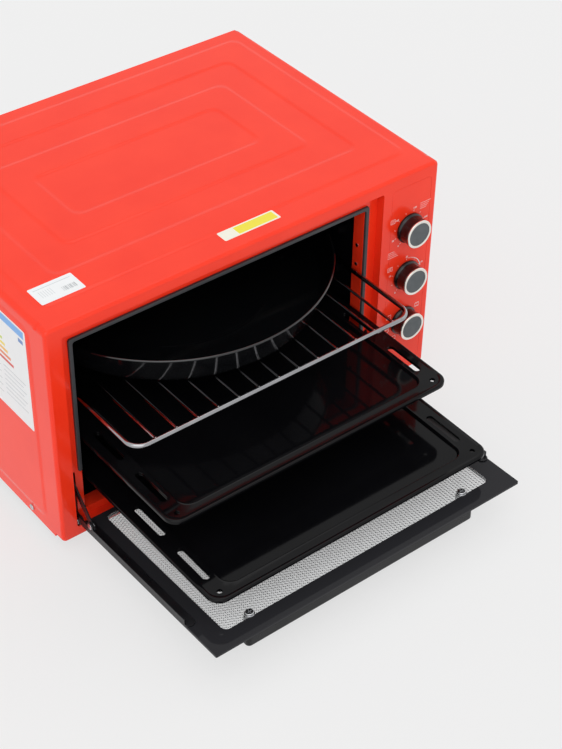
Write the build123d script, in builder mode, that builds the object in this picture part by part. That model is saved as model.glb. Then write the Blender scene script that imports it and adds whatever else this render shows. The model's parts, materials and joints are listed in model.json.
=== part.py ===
from build123d import *
import os
from math import cos, radians, sin

# A countertop oven with its door down, two enamelled trays, a wire rack and a round pan
# Lengths in millimetres; X across (right is +), Y backwards, Z up; the feet stand on Z = 0

# Casing
BODY_W = 500.0
BODY_D = 362.0
BODY_H = 280.0
FOOT_H = 18.0
SHEET = 1.2
CORNER_R = 6.0
FRAME_D = 15.0
FIT = 0.1
EMBOSS = 0.8
BAND_INSET = 19.5
BAND_STEP = 37.0
BAND_R = 12.0
SIDE_PANEL_MARGIN = (18.0, 16.0, 18.0, 15.0)  # from frame, bottom, back and top
BACK_FLANGE_W = 10.0
BACK_INSET = 1.6
GLAND_OUT = 9.0

# Door opening in the front frame
FRAME_SKIN = 1.5
FRAME_EDGE_R = 4.0
RECESS_X = (-231.5, 173.0)
RECESS_Z = (14.0, 266.0)
RECESS_DEPTH = 11.0
RECESS_R = 3.0
MOUTH_X = (-214.5, 155.5)
MOUTH_Z = (24.0, 247.0)
MOUTH_R = 3.0
LIP_END = 27.0
LIP_SCREW_Y = 20.0
LIP_SCREW_Z = (172.0, 197.0)
LIP_SCREW_R = 1.2
LIP_SCREW_FIT = 0.1
LIP_SCREW_HEAD_R = 2.2
LIP_SCREW_HEAD_T = 0.8
LIP_SCREW_L = 5.0
SLOT_W = 5.5
SLOT_Z = (16.0, 80.0)

# Door seal
GASKET_W = 4.5
GASKET_T = 3.0
GASKET_LEG_END = 82.0

# Cooking chamber
CHAMBER_GAP = 0.5
CHAMBER_T = 1.0
CHAMBER_CLEAR = 1.5
CHAMBER_BACK = 345.0
RIB_LEVELS = (57.5, 109.5, 161.5, 213.5)
RIB_HOLD = 6.0
RIB_H = 9.0
RIB_Y = (40.0, 320.0)

# Heating elements
HEATER_R = 3.25
HEATER_FIT = 0.15
HEATER_BEND_R = 30.0
HEATER_LEFT = -185.0
HEATER_Y = (80.0, 285.0)
LOWER_HEATER_Z = 32.0
UPPER_HEATER_Z = 236.0
CERAMIC_R = 6.0
CERAMIC_L = 10.0
TERMINAL_CAP_T = 1.0
TERMINAL_PIN_R = 1.5
TERMINAL_PIN_L = 7.0

# Controls
KNOB_X = 212.0
KNOB_Z = {"thermostat": 208.0, "timer": 144.0, "selector": 80.0}
FASCIA_X = (185.0, 241.0)
FASCIA_Z = (16.0, 264.0)
FASCIA_R = 6.0
FASCIA_T = 0.7
FASCIA_GAP = 0.25
KNOB_R = 17.0
KNOB_SKIRT_R = 18.0
KNOB_SKIRT_T = 3.0
KNOB_LIFT = 0.5
KNOB_OUT = 18.0
KNOB_RING_W = 3.2
KNOB_RING_T = 2.0
KNOB_CAP_T = 1.2
KNOB_CAP_SINK = 0.5
SHAFT_R = 3.0
SHAFT_FIT = 0.05
SHAFT_HOLE_R = 5.0
SHAFT_IN_KNOB = 9.0
SHAFT_IN_BODY = 14.0
BUSH_R = 3.9
BUSH_OUT = 6.0
NUT_AF = 12.0
NUT_T = 2.5
BRACKET_Y = 13.0
CONTROL_T = {"thermostat": 22.0, "timer": 28.0, "selector": 24.0}
CONTROL_W = {"thermostat": 36.0, "timer": 44.0, "selector": 34.0}
BULB_R = 2.5
BULB_Y = (130.0, 215.0)
BULB_Z = 225.0
CLIP_W = 8.0
CLIP_T = 0.8

# Door; its sizes are taken along the open door, whose tip stands a little above level
AXIS_Y = 2.5
AXIS_Z = 20.0
DOOR_RISE = 2.2
GLASS_X = (-229.5, 170.5)
GLASS_REACH = (7.0, 243.5)
GLASS_T = 4.0
GLASS_R = 1.5
STRAP_W = 11.0
STRAP_T = 1.5
STRAP_REACH = 198.0
STRAP_RAISE = 7.0
STRAP_OVERHANG = 0.5
LUG_R = 5.0
PIVOT_R = 1.9
PIVOT_FIT = 0.05
PIVOT_HEAD_R = 3.4
PIVOT_HEAD_T = 0.8
PIVOT_TAIL = 0.6
HINGE_EAR_T = 2.0
HINGE_EAR_OFFSET = 3.6
HINGE_LEAF_Z = (16.5, 60.0)
ARM_PIVOT_REACH = 26.0
ARM_PIVOT_RAISE = 11.0
ARM_ANGLE = 48.0
ARM_L = 66.0
ARM_TAIL = 3.0
ARM_W = 8.0
ARM_T = 1.5
ARM_GAP = 0.3

# Door handle
HANDLE_X = (-181.0, 120.0)
HANDLE_REACH = (209.0, 229.0)
HANDLE_DROP = 18.7
HANDLE_T = 12.5
HANDLE_R = 5.0
POST_X = (-171.0, 110.5)
POST_REACH = 219.0
POST_R = 6.5
SCREW_R = 2.0
SCREW_FIT = 0.1
SCREW_BITE = 8.0
SCREW_HEAD_R = 4.6
SCREW_HEAD_T = 2.2
SCREW_HEAD_EDGE = 1.0
RECESS_IN_HEAD = 0.9
WASHER_R = 5.4
WASHER_T = 0.6

# Trays, rack and pan; each place is behind the front plane, so minus is in front of it
TRAY_X = -27.0
TRAY_W = 361.0
TRAY_L = 300.0
TRAY_T = 1.0
TRAY_R = 15.0
TRAY_CURL = 3.0
TRAY_SEAT = 0.1
BASIN_SIDE = 24.0
BASIN_END = 14.0
BASIN_DEPTH = 18.0
BASIN_R = 15.0
BASIN_TAPER = 12.0
TRAY_SLOT = (8.0, 50.0)
TRAY_SLOT_EDGE = 15.0
TRAY_SLOT_Y = (58.0, 133.0)
TRAY_HOLE_R = 3.0
TRAY_HOLE = (14.0, 13.0)
TRAY_FRONT = {"lower_tray": -211.0, "upper_tray": -142.0}
TRAY_LEVEL = {"lower_tray": 0, "upper_tray": 1}
RACK_FRONT = -80.0
RACK_LEVEL = 2
RACK_WIRE_R = 2.5
RACK_CORNER_R = 16.0
RACK_RODS = 13
RACK_ROD_R = 1.5
RACK_ROD_RAISE = 0.6
PAN_X = -25.5
PAN_Y = 123.0
PAN_RIM_R = 180.0
PAN_BASE_R = 168.0
PAN_H = 36.0
PAN_T = 1.0
PAN_BEAD_R = 1.4

# Small parts
FOOT_TOP_R = 15.0
FOOT_BASE_R = 13.0
FOOT_INSET = (45.0, 45.0)
VENT_SIZE = (4.0, 34.0)
VENT_PITCH = 11.0
FIXING_R = 1.6
FIXING_HOLE_R = 1.7
FIXING_HEAD_R = 3.5
FIXING_HEAD_T = 1.2
FIXING_L = 8.0
BACK_FIXINGS = 8
BASE_FLANGE_H = 14.0
BASE_FLANGE_GAP = 23.0
SIDE_FIXING_Y = (60.0, 300.0)
SIDE_FIXING_Z = 8.0
GLAND_X = 215.0
GLAND_Z = 34.0
GLAND_FLANGE_R = 12.0
GLAND_R = 8.0
GLAND_BORE_R = 4.0
GLAND_FLANGE_T = 3.0
GLAND_IN = 8.0
TERMINAL_SIZE = (44.0, 20.0, 18.0)
TERMINAL_Y = 300.0
LABEL_T = 0.2
SIDE_LABEL = ((36.0, 124.0), (132.0, 259.0))
LEFT_LABEL = ((-228.0, -178.0), (37.0, 66.0))
FRONT_LABEL = ((-24.0, 47.0), (17.5, 33.5))

# Derived places
DOOR_TIP = GLASS_REACH[1] * cos(radians(DOOR_RISE)) + GLASS_T / 2 * sin(radians(DOOR_RISE)) - AXIS_Y
FRONT_Y = (DOOR_TIP - BODY_D - GLAND_OUT) / 2
DOOR_MID_X = sum(GLASS_X) / 2
GLASS_TOP = AXIS_Z + GLASS_T / 2
GLASS_BOTTOM = AXIS_Z - GLASS_T / 2
CHAMBER_X = (MOUTH_X[0] - FRAME_SKIN - CHAMBER_GAP, MOUTH_X[1] + FRAME_SKIN + CHAMBER_GAP)
CHAMBER_Z = (MOUTH_Z[0] - FRAME_SKIN - CHAMBER_GAP, MOUTH_Z[1] + FRAME_SKIN + CHAMBER_GAP)
CHAMBER_FRONT = RECESS_DEPTH + FRAME_SKIN + CHAMBER_CLEAR
RIB_OUT = (CHAMBER_X[1] - CHAMBER_X[0] - TRAY_W) / 2 + RIB_HOLD
SHELL_BACK = BODY_D - SHEET
SLOT_X = (GLASS_X[0] + 1.0, GLASS_X[0] + 1.0 + SLOT_W)
HANDLE_TOP = GLASS_BOTTOM - HANDLE_DROP
ARM_PIVOT_ON_DOOR = (AXIS_Y - ARM_PIVOT_REACH, AXIS_Z + ARM_PIVOT_RAISE)
STRAP_OUTER = GLASS_X[0] - STRAP_OVERHANG
ARM_X = STRAP_OUTER + STRAP_T + ARM_GAP

FRONT = Plane(origin=(0, FRONT_Y, FOOT_H), x_dir=(1, 0, 0), z_dir=(0, -1, 0))
LEVEL = Plane(origin=(0, FRONT_Y, FOOT_H))
SIDE = Plane(origin=(0, FRONT_Y, FOOT_H), x_dir=(0, 1, 0), z_dir=(1, 0, 0))


def raised(behind, up):
    """Where a point given along the level door lies once the door is raised about its axis."""
    turn = radians(DOOR_RISE)
    out, rise = behind - AXIS_Y, up - AXIS_Z
    return (AXIS_Y + out * cos(turn) + rise * sin(turn), AXIS_Z - out * sin(turn) + rise * cos(turn))


door_origin = (0, FRONT_Y + raised(0, 0)[0], FOOT_H + raised(0, 0)[1])
door_along = (0, cos(radians(DOOR_RISE)), -sin(radians(DOOR_RISE)))
door_normal = (0, sin(radians(DOOR_RISE)), cos(radians(DOOR_RISE)))
DOOR = Plane(origin=door_origin, x_dir=(1, 0, 0), z_dir=door_normal)
DOOR_SIDE = Plane(origin=door_origin, x_dir=door_along, z_dir=(1, 0, 0))
ARM_PIVOT = raised(*ARM_PIVOT_ON_DOOR)


def middle(pair):
    """Mean of two limits."""
    return (pair[0] + pair[1]) / 2


def span(pair):
    """Distance between two limits."""
    return pair[1] - pair[0]


def block(across, behind, up, mode=Mode.ADD, base=LEVEL):
    """Box between limits across, behind the front plane and above the casing's bottom."""
    with Locations(base):
        with Locations((middle(across), middle(behind), middle(up))):
            Box(span(across), span(behind), span(up), mode=mode)


def disc(centre, radius, depth, plane, mode=Mode.ADD):
    """Cylinder that starts on a plane, round a point of it, and grows along its normal."""
    with BuildSketch(plane) as outline:
        with Locations(centre):
            Circle(radius)
    extrude(outline.sketch, amount=depth, mode=mode)


def plate(across, up, corner, depth, plane, mode=Mode.ADD):
    """Rounded rectangle between two pairs of limits of a plane, thickened along its normal."""
    with BuildSketch(plane) as outline:
        with Locations((middle(across), middle(up))):
            RectangleRounded(span(across), span(up), corner)
    extrude(outline.sketch, amount=depth, mode=mode)


def grown(pair, amount):
    """Limits moved outwards by an amount at both ends."""
    return (pair[0] - amount, pair[1] + amount)


def write(piece, name):
    """Label a finished piece and write it to its own file."""
    piece.part.label = name
    export_step(piece.part, f"parts/{name}.step")


def at_other_side(pair):
    """Limits across, mirrored about the door's middle."""
    return (2 * DOOR_MID_X - pair[1], 2 * DOOR_MID_X - pair[0])


os.makedirs("parts", exist_ok=True)

# Outer shell: top and both sides in one sheet, with pressed bands and vents
top_limits = (FRAME_D, SHELL_BACK)
half_w = BODY_W / 2
side_panel_y = (FRAME_D + SIDE_PANEL_MARGIN[0], SHELL_BACK - SIDE_PANEL_MARGIN[2])
side_panel_z = (SIDE_PANEL_MARGIN[1], BODY_H - SIDE_PANEL_MARGIN[3])
with BuildPart() as outer_shell:
    with BuildSketch(FRONT.offset(-FRAME_D)) as section:
        with Locations((0, BODY_H / 2 - CORNER_R)):
            RectangleRounded(BODY_W, BODY_H + 2 * CORNER_R, CORNER_R)
            RectangleRounded(
                BODY_W - 2 * SHEET, BODY_H + 2 * CORNER_R - 2 * SHEET, CORNER_R - SHEET, mode=Mode.SUBTRACT
            )
        with Locations((0, -CORNER_R - SHEET)):
            Rectangle(2 * BODY_W, 2 * (CORNER_R + SHEET), mode=Mode.SUBTRACT)
    extrude(amount=-(SHELL_BACK - FRAME_D))
    with BuildSketch(FRONT.offset(-SHELL_BACK)) as flange:
        with Locations((0, BODY_H / 2 - CORNER_R)):
            RectangleRounded(
                BODY_W - SHEET, BODY_H + 2 * CORNER_R - SHEET, CORNER_R - SHEET / 2
            )
            RectangleRounded(
                BODY_W - 2 * BACK_FLANGE_W,
                BODY_H + 2 * CORNER_R - 2 * BACK_FLANGE_W,
                CORNER_R,
                mode=Mode.SUBTRACT,
            )
        with Locations((0, -BODY_H + BASE_FLANGE_H + 2)):
            Rectangle(2 * BODY_W, 2 * BODY_H, mode=Mode.SUBTRACT)
    extrude(amount=SHEET)
    for band in (0, 2):
        outer_inset = BAND_INSET + band * BAND_STEP
        inner_inset = outer_inset + BAND_STEP
        top_x = (-half_w, half_w)
        for inset_out, inset_in, height, lift, mode in (
            (outer_inset, inner_inset, BODY_H, EMBOSS, Mode.ADD),
            (outer_inset + 2 * SHEET, inner_inset - 2 * SHEET, BODY_H - SHEET, EMBOSS, Mode.SUBTRACT),
        ):
            with BuildSketch(LEVEL.offset(height)) as ring:
                with Locations((0, middle(top_limits))):
                    RectangleRounded(
                        BODY_W - 2 * inset_out, span(top_limits) - 2 * inset_out, BAND_R
                    )
                    RectangleRounded(
                        BODY_W - 2 * inset_in,
                        span(top_limits) - 2 * inset_in,
                        BAND_R,
                        mode=Mode.SUBTRACT,
                    )
            extrude(amount=lift, mode=mode)
    for way in (-1, 1):
        plate(side_panel_y, side_panel_z, BAND_R, way * EMBOSS, SIDE.offset(way * half_w))
        plate(
            grown(side_panel_y, -2 * SHEET),
            grown(side_panel_z, -2 * SHEET),
            BAND_R,
            way * EMBOSS,
            SIDE.offset(way * (half_w - SHEET)),
            mode=Mode.SUBTRACT,
        )
    with BuildSketch(SIDE.offset(half_w - 3 * SHEET)) as vents:
        with Locations((FRAME_D + 75, BODY_H - 60), (FRAME_D + 75, 60)):
            with GridLocations(VENT_PITCH, 0, 8, 1):
                SlotOverall(VENT_SIZE[1], VENT_SIZE[0], rotation=90)
    extrude(amount=6 * SHEET, mode=Mode.SUBTRACT)
    for way in (-1, 1):
        for place in SIDE_FIXING_Y:
            disc((place, SIDE_FIXING_Z), FIXING_HOLE_R, way * 3 * SHEET,
                 SIDE.offset(way * (half_w - 2 * SHEET)), mode=Mode.SUBTRACT)
    back_fixing_places = [
        (way * (half_w - BACK_FLANGE_W / 2 - SHEET / 2), height)
        for way in (-1, 1)
        for height in (BODY_H * 0.12, BODY_H * 0.5, BODY_H * 0.88)
    ] + [(way * BODY_W / 5, BODY_H - BACK_FLANGE_W / 2 - SHEET / 2) for way in (-1, 1)]
    for place in back_fixing_places:
        disc(place, FIXING_HOLE_R, 3 * SHEET, FRONT.offset(-SHELL_BACK - SHEET), mode=Mode.SUBTRACT)
write(outer_shell, "outer_shell")

# Back panel: full sheet, a little inside the shell's outline, with vents and the cord's hole
with BuildPart() as back_panel:
    plate(grown((-half_w, half_w), -BACK_INSET), (0, BODY_H - BACK_INSET), CORNER_R - BACK_INSET,
          SHEET, FRONT.offset(-BODY_D))
    with BuildSketch(FRONT.offset(-BODY_D)) as vents:
        with Locations((KNOB_X - 10, BODY_H - 70), (-60, BODY_H / 2)):
            with GridLocations(VENT_PITCH, 0, 5, 1):
                SlotOverall(VENT_SIZE[1], VENT_SIZE[0], rotation=90)
    extrude(amount=SHEET, mode=Mode.SUBTRACT)
    for place in back_fixing_places:
        disc(place, FIXING_HOLE_R, SHEET, FRONT.offset(-BODY_D), mode=Mode.SUBTRACT)
    disc((GLAND_X, GLAND_Z), GLAND_R + FIT, SHEET, FRONT.offset(-BODY_D), mode=Mode.SUBTRACT)
write(back_panel, "back_panel")

# Base panel: a sheet between the shell's sides, with an upturned flange along each side
base_x = half_w - SHEET - FIT
with BuildPart() as base_panel:
    block((-base_x, base_x), (FRAME_D + FIT, SHELL_BACK - FIT), (0, SHEET))
    for way in (-1, 1):
        sides = sorted((way * base_x, way * (base_x - SHEET)))
        block(sides, (BASE_FLANGE_GAP, SHELL_BACK - 2 * SHEET), (0, BASE_FLANGE_H))
        for place in SIDE_FIXING_Y:
            disc((place, SIDE_FIXING_Z), FIXING_HOLE_R, way * 2 * SHEET,
                 SIDE.offset(way * (base_x - 1.5 * SHEET)), mode=Mode.SUBTRACT)
write(base_panel, "base_panel")

# Front frame: pressed sheet with the door's recess, the mouth's lip and the control area
with BuildPart() as front_frame:
    plate((-half_w, half_w), (0, BODY_H), CORNER_R, -FRAME_D, FRONT)
    fillet(front_frame.faces().sort_by(Axis.Y)[0].edges(), radius=FRAME_EDGE_R)
    plate(
        (-half_w + FRAME_SKIN, half_w - FRAME_SKIN),
        (FRAME_SKIN, BODY_H - FRAME_SKIN),
        CORNER_R - FRAME_SKIN,
        -FRAME_D,
        FRONT.offset(-FRAME_SKIN),
        mode=Mode.SUBTRACT,
    )
    tuck = SHEET + FIT
    plate((-half_w + tuck, half_w - tuck), (tuck, BODY_H - tuck), CORNER_R - tuck,
          -(FRAME_D / 2 + 1), FRONT.offset(-FRAME_D / 2 - FIT * 5))
    plate((-half_w + tuck + SHEET, half_w - tuck - SHEET), (tuck + SHEET, BODY_H - tuck - SHEET),
          CORNER_R - tuck - SHEET, -FRAME_D, FRONT.offset(-FRAME_D / 2), mode=Mode.SUBTRACT)
    plate(grown(RECESS_X, FRAME_SKIN), grown(RECESS_Z, FRAME_SKIN), RECESS_R + FRAME_SKIN,
          -RECESS_DEPTH, FRONT.offset(-FRAME_SKIN))
    plate(grown(MOUTH_X, FRAME_SKIN), grown(MOUTH_Z, FRAME_SKIN), MOUTH_R + FRAME_SKIN,
          -(LIP_END - RECESS_DEPTH), FRONT.offset(-RECESS_DEPTH))
    plate(RECESS_X, RECESS_Z, RECESS_R, -RECESS_DEPTH, FRONT, mode=Mode.SUBTRACT)
    plate(MOUTH_X, MOUTH_Z, MOUTH_R, -LIP_END, FRONT, mode=Mode.SUBTRACT)
    for slot in (SLOT_X, at_other_side(SLOT_X)):
        plate(slot, SLOT_Z, SLOT_W / 2 - FIT, -3 * FRAME_SKIN,
              FRONT.offset(-RECESS_DEPTH + FRAME_SKIN), mode=Mode.SUBTRACT)
    plate(FASCIA_X, FASCIA_Z, FASCIA_R, -FASCIA_T, FRONT, mode=Mode.SUBTRACT)
    for height in KNOB_Z.values():
        disc((KNOB_X, height), SHAFT_HOLE_R, -2 * FRAME_SKIN, FRONT, mode=Mode.SUBTRACT)
    for face, outward in zip(MOUTH_X, (-1, 1)):
        for height in LIP_SCREW_Z:
            disc((LIP_SCREW_Y, height), LIP_SCREW_R + LIP_SCREW_FIT, outward * 2 * FRAME_SKIN,
                 SIDE.offset(face - outward * FRAME_SKIN / 2), mode=Mode.SUBTRACT)
write(front_frame, "front_frame")

# Control fascia: the printed plate behind the knobs
with BuildPart() as control_fascia:
    plate(grown(FASCIA_X, -FASCIA_GAP), grown(FASCIA_Z, -FASCIA_GAP), FASCIA_R - FASCIA_GAP,
          FASCIA_T, FRONT.offset(-FASCIA_T))
    for height in KNOB_Z.values():
        disc((KNOB_X, height), SHAFT_HOLE_R, -FASCIA_T, FRONT, mode=Mode.SUBTRACT)
write(control_fascia, "control_fascia")

# Door seal: round the mouth's top and sides, ending in two rounded legs
seal_x = (MOUTH_X[0] - 0.5, MOUTH_X[1] + 0.5)
seal_top = MOUTH_Z[1] + 0.5
with BuildPart() as door_gasket:
    with BuildSketch(FRONT.offset(-RECESS_DEPTH)) as band:
        with Locations((middle(seal_x), seal_top + GASKET_W - BODY_H / 2)):
            RectangleRounded(span(seal_x) + 2 * GASKET_W, BODY_H, MOUTH_R)
        with Locations((middle(seal_x), seal_top - BODY_H / 2)):
            RectangleRounded(span(seal_x), BODY_H, MOUTH_R, mode=Mode.SUBTRACT)
        with Locations((0, GASKET_LEG_END - BODY_H)):
            Rectangle(2 * BODY_W, 2 * BODY_H, mode=Mode.SUBTRACT)
        with Locations(
            (seal_x[0] - GASKET_W / 2, GASKET_LEG_END), (seal_x[1] + GASKET_W / 2, GASKET_LEG_END)
        ):
            Circle(GASKET_W / 2)
    extrude(amount=GASKET_T)
    fillet(door_gasket.faces().sort_by(Axis.Y)[0].edges(), radius=GASKET_T / 3)
write(door_gasket, "door_gasket")

# Cooking chamber: five enamelled walls, the two side walls with pressed shelf ribs
wall_y = (CHAMBER_FRONT, CHAMBER_BACK)
wall_z = grown(CHAMBER_Z, CHAMBER_T)
heater_levels = (LOWER_HEATER_Z, UPPER_HEATER_Z)
for name, face, inward in (
    ("cavity_left_wall", CHAMBER_X[0], 1),
    ("cavity_right_wall", CHAMBER_X[1], -1),
):
    with BuildPart() as side_wall:
        block(sorted((face, face - inward * CHAMBER_T)), wall_y, wall_z)
        for level in RIB_LEVELS:
            block(sorted((face - inward * CHAMBER_T, face + inward * RIB_OUT)), RIB_Y,
                  (level - RIB_H, level))
        fillet(side_wall.edges().filter_by(Axis.Y).filter_by_position(
            Axis.X, *sorted((face + inward * (RIB_OUT - 0.1), face + inward * (RIB_OUT + 0.1)))
        ), radius=2.0)
        for level in RIB_LEVELS:
            block(sorted((face - inward * 2 * CHAMBER_T, face + inward * (RIB_OUT - 2.2))),
                  grown(RIB_Y, -CHAMBER_T), (level - RIB_H + CHAMBER_T, level - CHAMBER_T),
                  mode=Mode.SUBTRACT)
        for height in LIP_SCREW_Z:
            disc((LIP_SCREW_Y, height), LIP_SCREW_R + LIP_SCREW_FIT, -inward * 3 * CHAMBER_T,
                 SIDE.offset(face + inward * CHAMBER_T), mode=Mode.SUBTRACT)
        if inward < 0:
            for level in heater_levels:
                for place in HEATER_Y:
                    disc((place, level), HEATER_R + HEATER_FIT, 4 * CHAMBER_T,
                         SIDE.offset(face - CHAMBER_T), mode=Mode.SUBTRACT)
    write(side_wall, name)
for name, up in (
    ("cavity_bottom_wall", (wall_z[0], CHAMBER_Z[0])),
    ("cavity_top_wall", (CHAMBER_Z[1], wall_z[1])),
):
    with BuildPart() as level_wall:
        block(CHAMBER_X, wall_y, up)
    write(level_wall, name)
with BuildPart() as cavity_back_wall:
    block(grown(CHAMBER_X, CHAMBER_T), (CHAMBER_BACK, CHAMBER_BACK + CHAMBER_T), wall_z)
write(cavity_back_wall, "cavity_back_wall")

# Heating elements: bent tubes that enter through the right wall, each end in a ceramic bush
outside_wall = CHAMBER_X[1] + CHAMBER_T
heater_end = outside_wall + CERAMIC_L
for name, level in (("lower", LOWER_HEATER_Z), ("upper", UPPER_HEATER_Z)):
    with BuildPart() as element:
        with BuildLine(LEVEL.offset(level)) as route:
            FilletPolyline((heater_end, HEATER_Y[0]), (HEATER_LEFT, HEATER_Y[0]),
                           (HEATER_LEFT, HEATER_Y[1]), (heater_end, HEATER_Y[1]),
                           radius=HEATER_BEND_R)
        with BuildSketch(Plane(origin=route.line @ 0, z_dir=route.line % 0)):
            Circle(HEATER_R)
        sweep()
    write(element, f"{name}_heater")
with BuildPart() as heater_terminals:
    for place in [(along, level) for along in HEATER_Y for level in heater_levels]:
        disc(place, CERAMIC_R, CERAMIC_L, SIDE.offset(outside_wall))
        disc(place, HEATER_R, CERAMIC_L, SIDE.offset(outside_wall), mode=Mode.SUBTRACT)
        disc(place, CERAMIC_R, TERMINAL_CAP_T, SIDE.offset(heater_end))
        disc(place, TERMINAL_PIN_R, TERMINAL_PIN_L, SIDE.offset(heater_end))
write(heater_terminals, "heater_terminals")

# Control bracket and the three controls on it
bracket_x = (RECESS_X[1] + FRAME_SKIN + FIT, half_w - SHEET - FIT - SHEET - FIT)
bracket_back = BRACKET_Y + SHEET
with BuildPart() as control_bracket:
    block(bracket_x, (BRACKET_Y, bracket_back), (20.0, BODY_H - 22.0))
    for height in KNOB_Z.values():
        disc((KNOB_X, height), BUSH_R + FIT, -2 * SHEET, FRONT.offset(-BRACKET_Y + FIT),
             mode=Mode.SUBTRACT)
write(control_bracket, "control_bracket")
with BuildPart() as control_nuts:
    for height in KNOB_Z.values():
        with BuildSketch(FRONT.offset(-BRACKET_Y)):
            with Locations((KNOB_X, height)):
                RegularPolygon(NUT_AF / 2, 6, major_radius=False)
                Circle(BUSH_R + SHAFT_FIT, mode=Mode.SUBTRACT)
    extrude(amount=NUT_T)
write(control_nuts, "control_nuts")
for name, height in KNOB_Z.items():
    width = CONTROL_W[name]
    with BuildPart() as control:
        start = FRONT.offset(-bracket_back)
        if name == "timer":
            disc((KNOB_X, height), width / 2, -CONTROL_T[name], start)
        else:
            plate((KNOB_X - width / 2, KNOB_X + width / 2), (height - width / 2, height + width / 2),
                  2.0, -CONTROL_T[name], start)
        disc((KNOB_X, height), BUSH_R, BUSH_OUT, start)
        disc((KNOB_X, height), SHAFT_R + SHAFT_FIT, -SHAFT_IN_BODY - 0.5, start, mode=Mode.SUBTRACT)
        disc((KNOB_X, height), SHAFT_R + SHAFT_FIT, BUSH_OUT, start, mode=Mode.SUBTRACT)
        with Locations(*[
            (KNOB_X + step, FRONT_Y + bracket_back + CONTROL_T[name] + 3, FOOT_H + height)
            for step in (-9, 0, 9)
        ]):
            Box(0.8, 8, 6)
    write(control, f"{name}_body")

    with BuildPart() as shaft:
        disc((KNOB_X, height), SHAFT_R, bracket_back + SHAFT_IN_BODY + SHAFT_IN_KNOB,
             FRONT.offset(-bracket_back - SHAFT_IN_BODY))
    write(shaft, f"{name}_shaft")

    # Knob: skirt, grip, a bright ring let into the front and a dark cap inside it
    knob_front = FRONT.offset(KNOB_OUT)
    with BuildPart() as knob:
        disc((KNOB_X, height), KNOB_SKIRT_R, KNOB_SKIRT_T, FRONT.offset(KNOB_LIFT))
        disc((KNOB_X, height), KNOB_R, KNOB_OUT - KNOB_LIFT - KNOB_RING_T, FRONT.offset(KNOB_LIFT))
        disc((KNOB_X, height), KNOB_R - KNOB_RING_W,
             KNOB_OUT - KNOB_LIFT - KNOB_CAP_T - KNOB_CAP_SINK, FRONT.offset(KNOB_LIFT))
        disc((KNOB_X, height), SHAFT_R, SHAFT_IN_KNOB - KNOB_LIFT, FRONT.offset(KNOB_LIFT),
             mode=Mode.SUBTRACT)
    write(knob, f"{name}_knob")
    with BuildPart() as ring:
        disc((KNOB_X, height), KNOB_R, -KNOB_RING_T, knob_front)
        disc((KNOB_X, height), KNOB_R - KNOB_RING_W, -KNOB_RING_T, knob_front, mode=Mode.SUBTRACT)
        fillet(ring.faces().sort_by(Axis.Y)[0].edges(), radius=0.6)
    write(ring, f"{name}_knob_ring")
    with BuildPart() as cap:
        disc((KNOB_X, height), KNOB_R - KNOB_RING_W, -KNOB_CAP_T, knob_front.offset(-KNOB_CAP_SINK))
    write(cap, f"{name}_knob_cap")

# Temperature bulb on the chamber's right wall, held by two clips
bulb_x = CHAMBER_X[1] - CLIP_T - BULB_R - FIT
with BuildPart() as thermostat_bulb:
    disc((bulb_x, BULB_Z), BULB_R, span(BULB_Y), FRONT.offset(-BULB_Y[1]))
    fillet(thermostat_bulb.edges(), radius=1.0)
write(thermostat_bulb, "thermostat_bulb")
with BuildPart() as bulb_clips:
    for place in (BULB_Y[0] + 15, BULB_Y[1] - 15):
        start = FRONT.offset(-place)
        disc((bulb_x, BULB_Z), BULB_R + FIT + CLIP_T, -CLIP_W, start)
        block((bulb_x, CHAMBER_X[1]), (place, place + CLIP_W), (BULB_Z - 6, BULB_Z + 6))
        block((bulb_x - 1, CHAMBER_X[1] - CLIP_T), (place, place + CLIP_W), (BULB_Z - 7, BULB_Z - 3.4),
              mode=Mode.SUBTRACT)
        block((bulb_x - 1, CHAMBER_X[1] - CLIP_T), (place, place + CLIP_W), (BULB_Z + 3.4, BULB_Z + 7),
              mode=Mode.SUBTRACT)
        disc((bulb_x, BULB_Z), BULB_R + FIT / 2, -CLIP_W, start, mode=Mode.SUBTRACT)
write(bulb_clips, "bulb_clips")

# Cord's entry and its terminals
with BuildPart() as cord_gland:
    gland = (GLAND_X, GLAND_Z)
    disc(gland, GLAND_FLANGE_R, -GLAND_FLANGE_T, FRONT.offset(-BODY_D))
    disc(gland, GLAND_R, -GLAND_OUT, FRONT.offset(-BODY_D))
    disc(gland, GLAND_R, GLAND_IN, FRONT.offset(-BODY_D))
    disc(gland, GLAND_BORE_R, -(GLAND_OUT + GLAND_IN), FRONT.offset(-BODY_D + GLAND_IN),
         mode=Mode.SUBTRACT)
write(cord_gland, "cord_gland")
with BuildPart() as terminal_block:
    block((GLAND_X - TERMINAL_SIZE[0] / 2, GLAND_X + TERMINAL_SIZE[0] / 2),
          (TERMINAL_Y, TERMINAL_Y + TERMINAL_SIZE[1]), (SHEET, SHEET + TERMINAL_SIZE[2]))
    with Locations((GLAND_X, FRONT_Y + TERMINAL_Y + TERMINAL_SIZE[1] / 2, FOOT_H + SHEET + TERMINAL_SIZE[2])):
        with GridLocations(12, 10, 3, 2):
            Hole(2.5, depth=6)
write(terminal_block, "terminal_block")

# Door glass with holes for the handle's screws
post_places = [(x, AXIS_Y - POST_REACH) for x in POST_X]
glass_y = (AXIS_Y - GLASS_REACH[1], AXIS_Y - GLASS_REACH[0])
with BuildPart() as door_glass:
    plate(GLASS_X, glass_y, GLASS_R, GLASS_T, DOOR.offset(GLASS_BOTTOM))
    chamfer(door_glass.faces().filter_by(DOOR).edges(), length=0.5)
    for place in post_places:
        disc(place, SCREW_R + SCREW_FIT, GLASS_T, DOOR.offset(GLASS_BOTTOM), mode=Mode.SUBTRACT)
write(door_glass, "door_glass")

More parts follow.
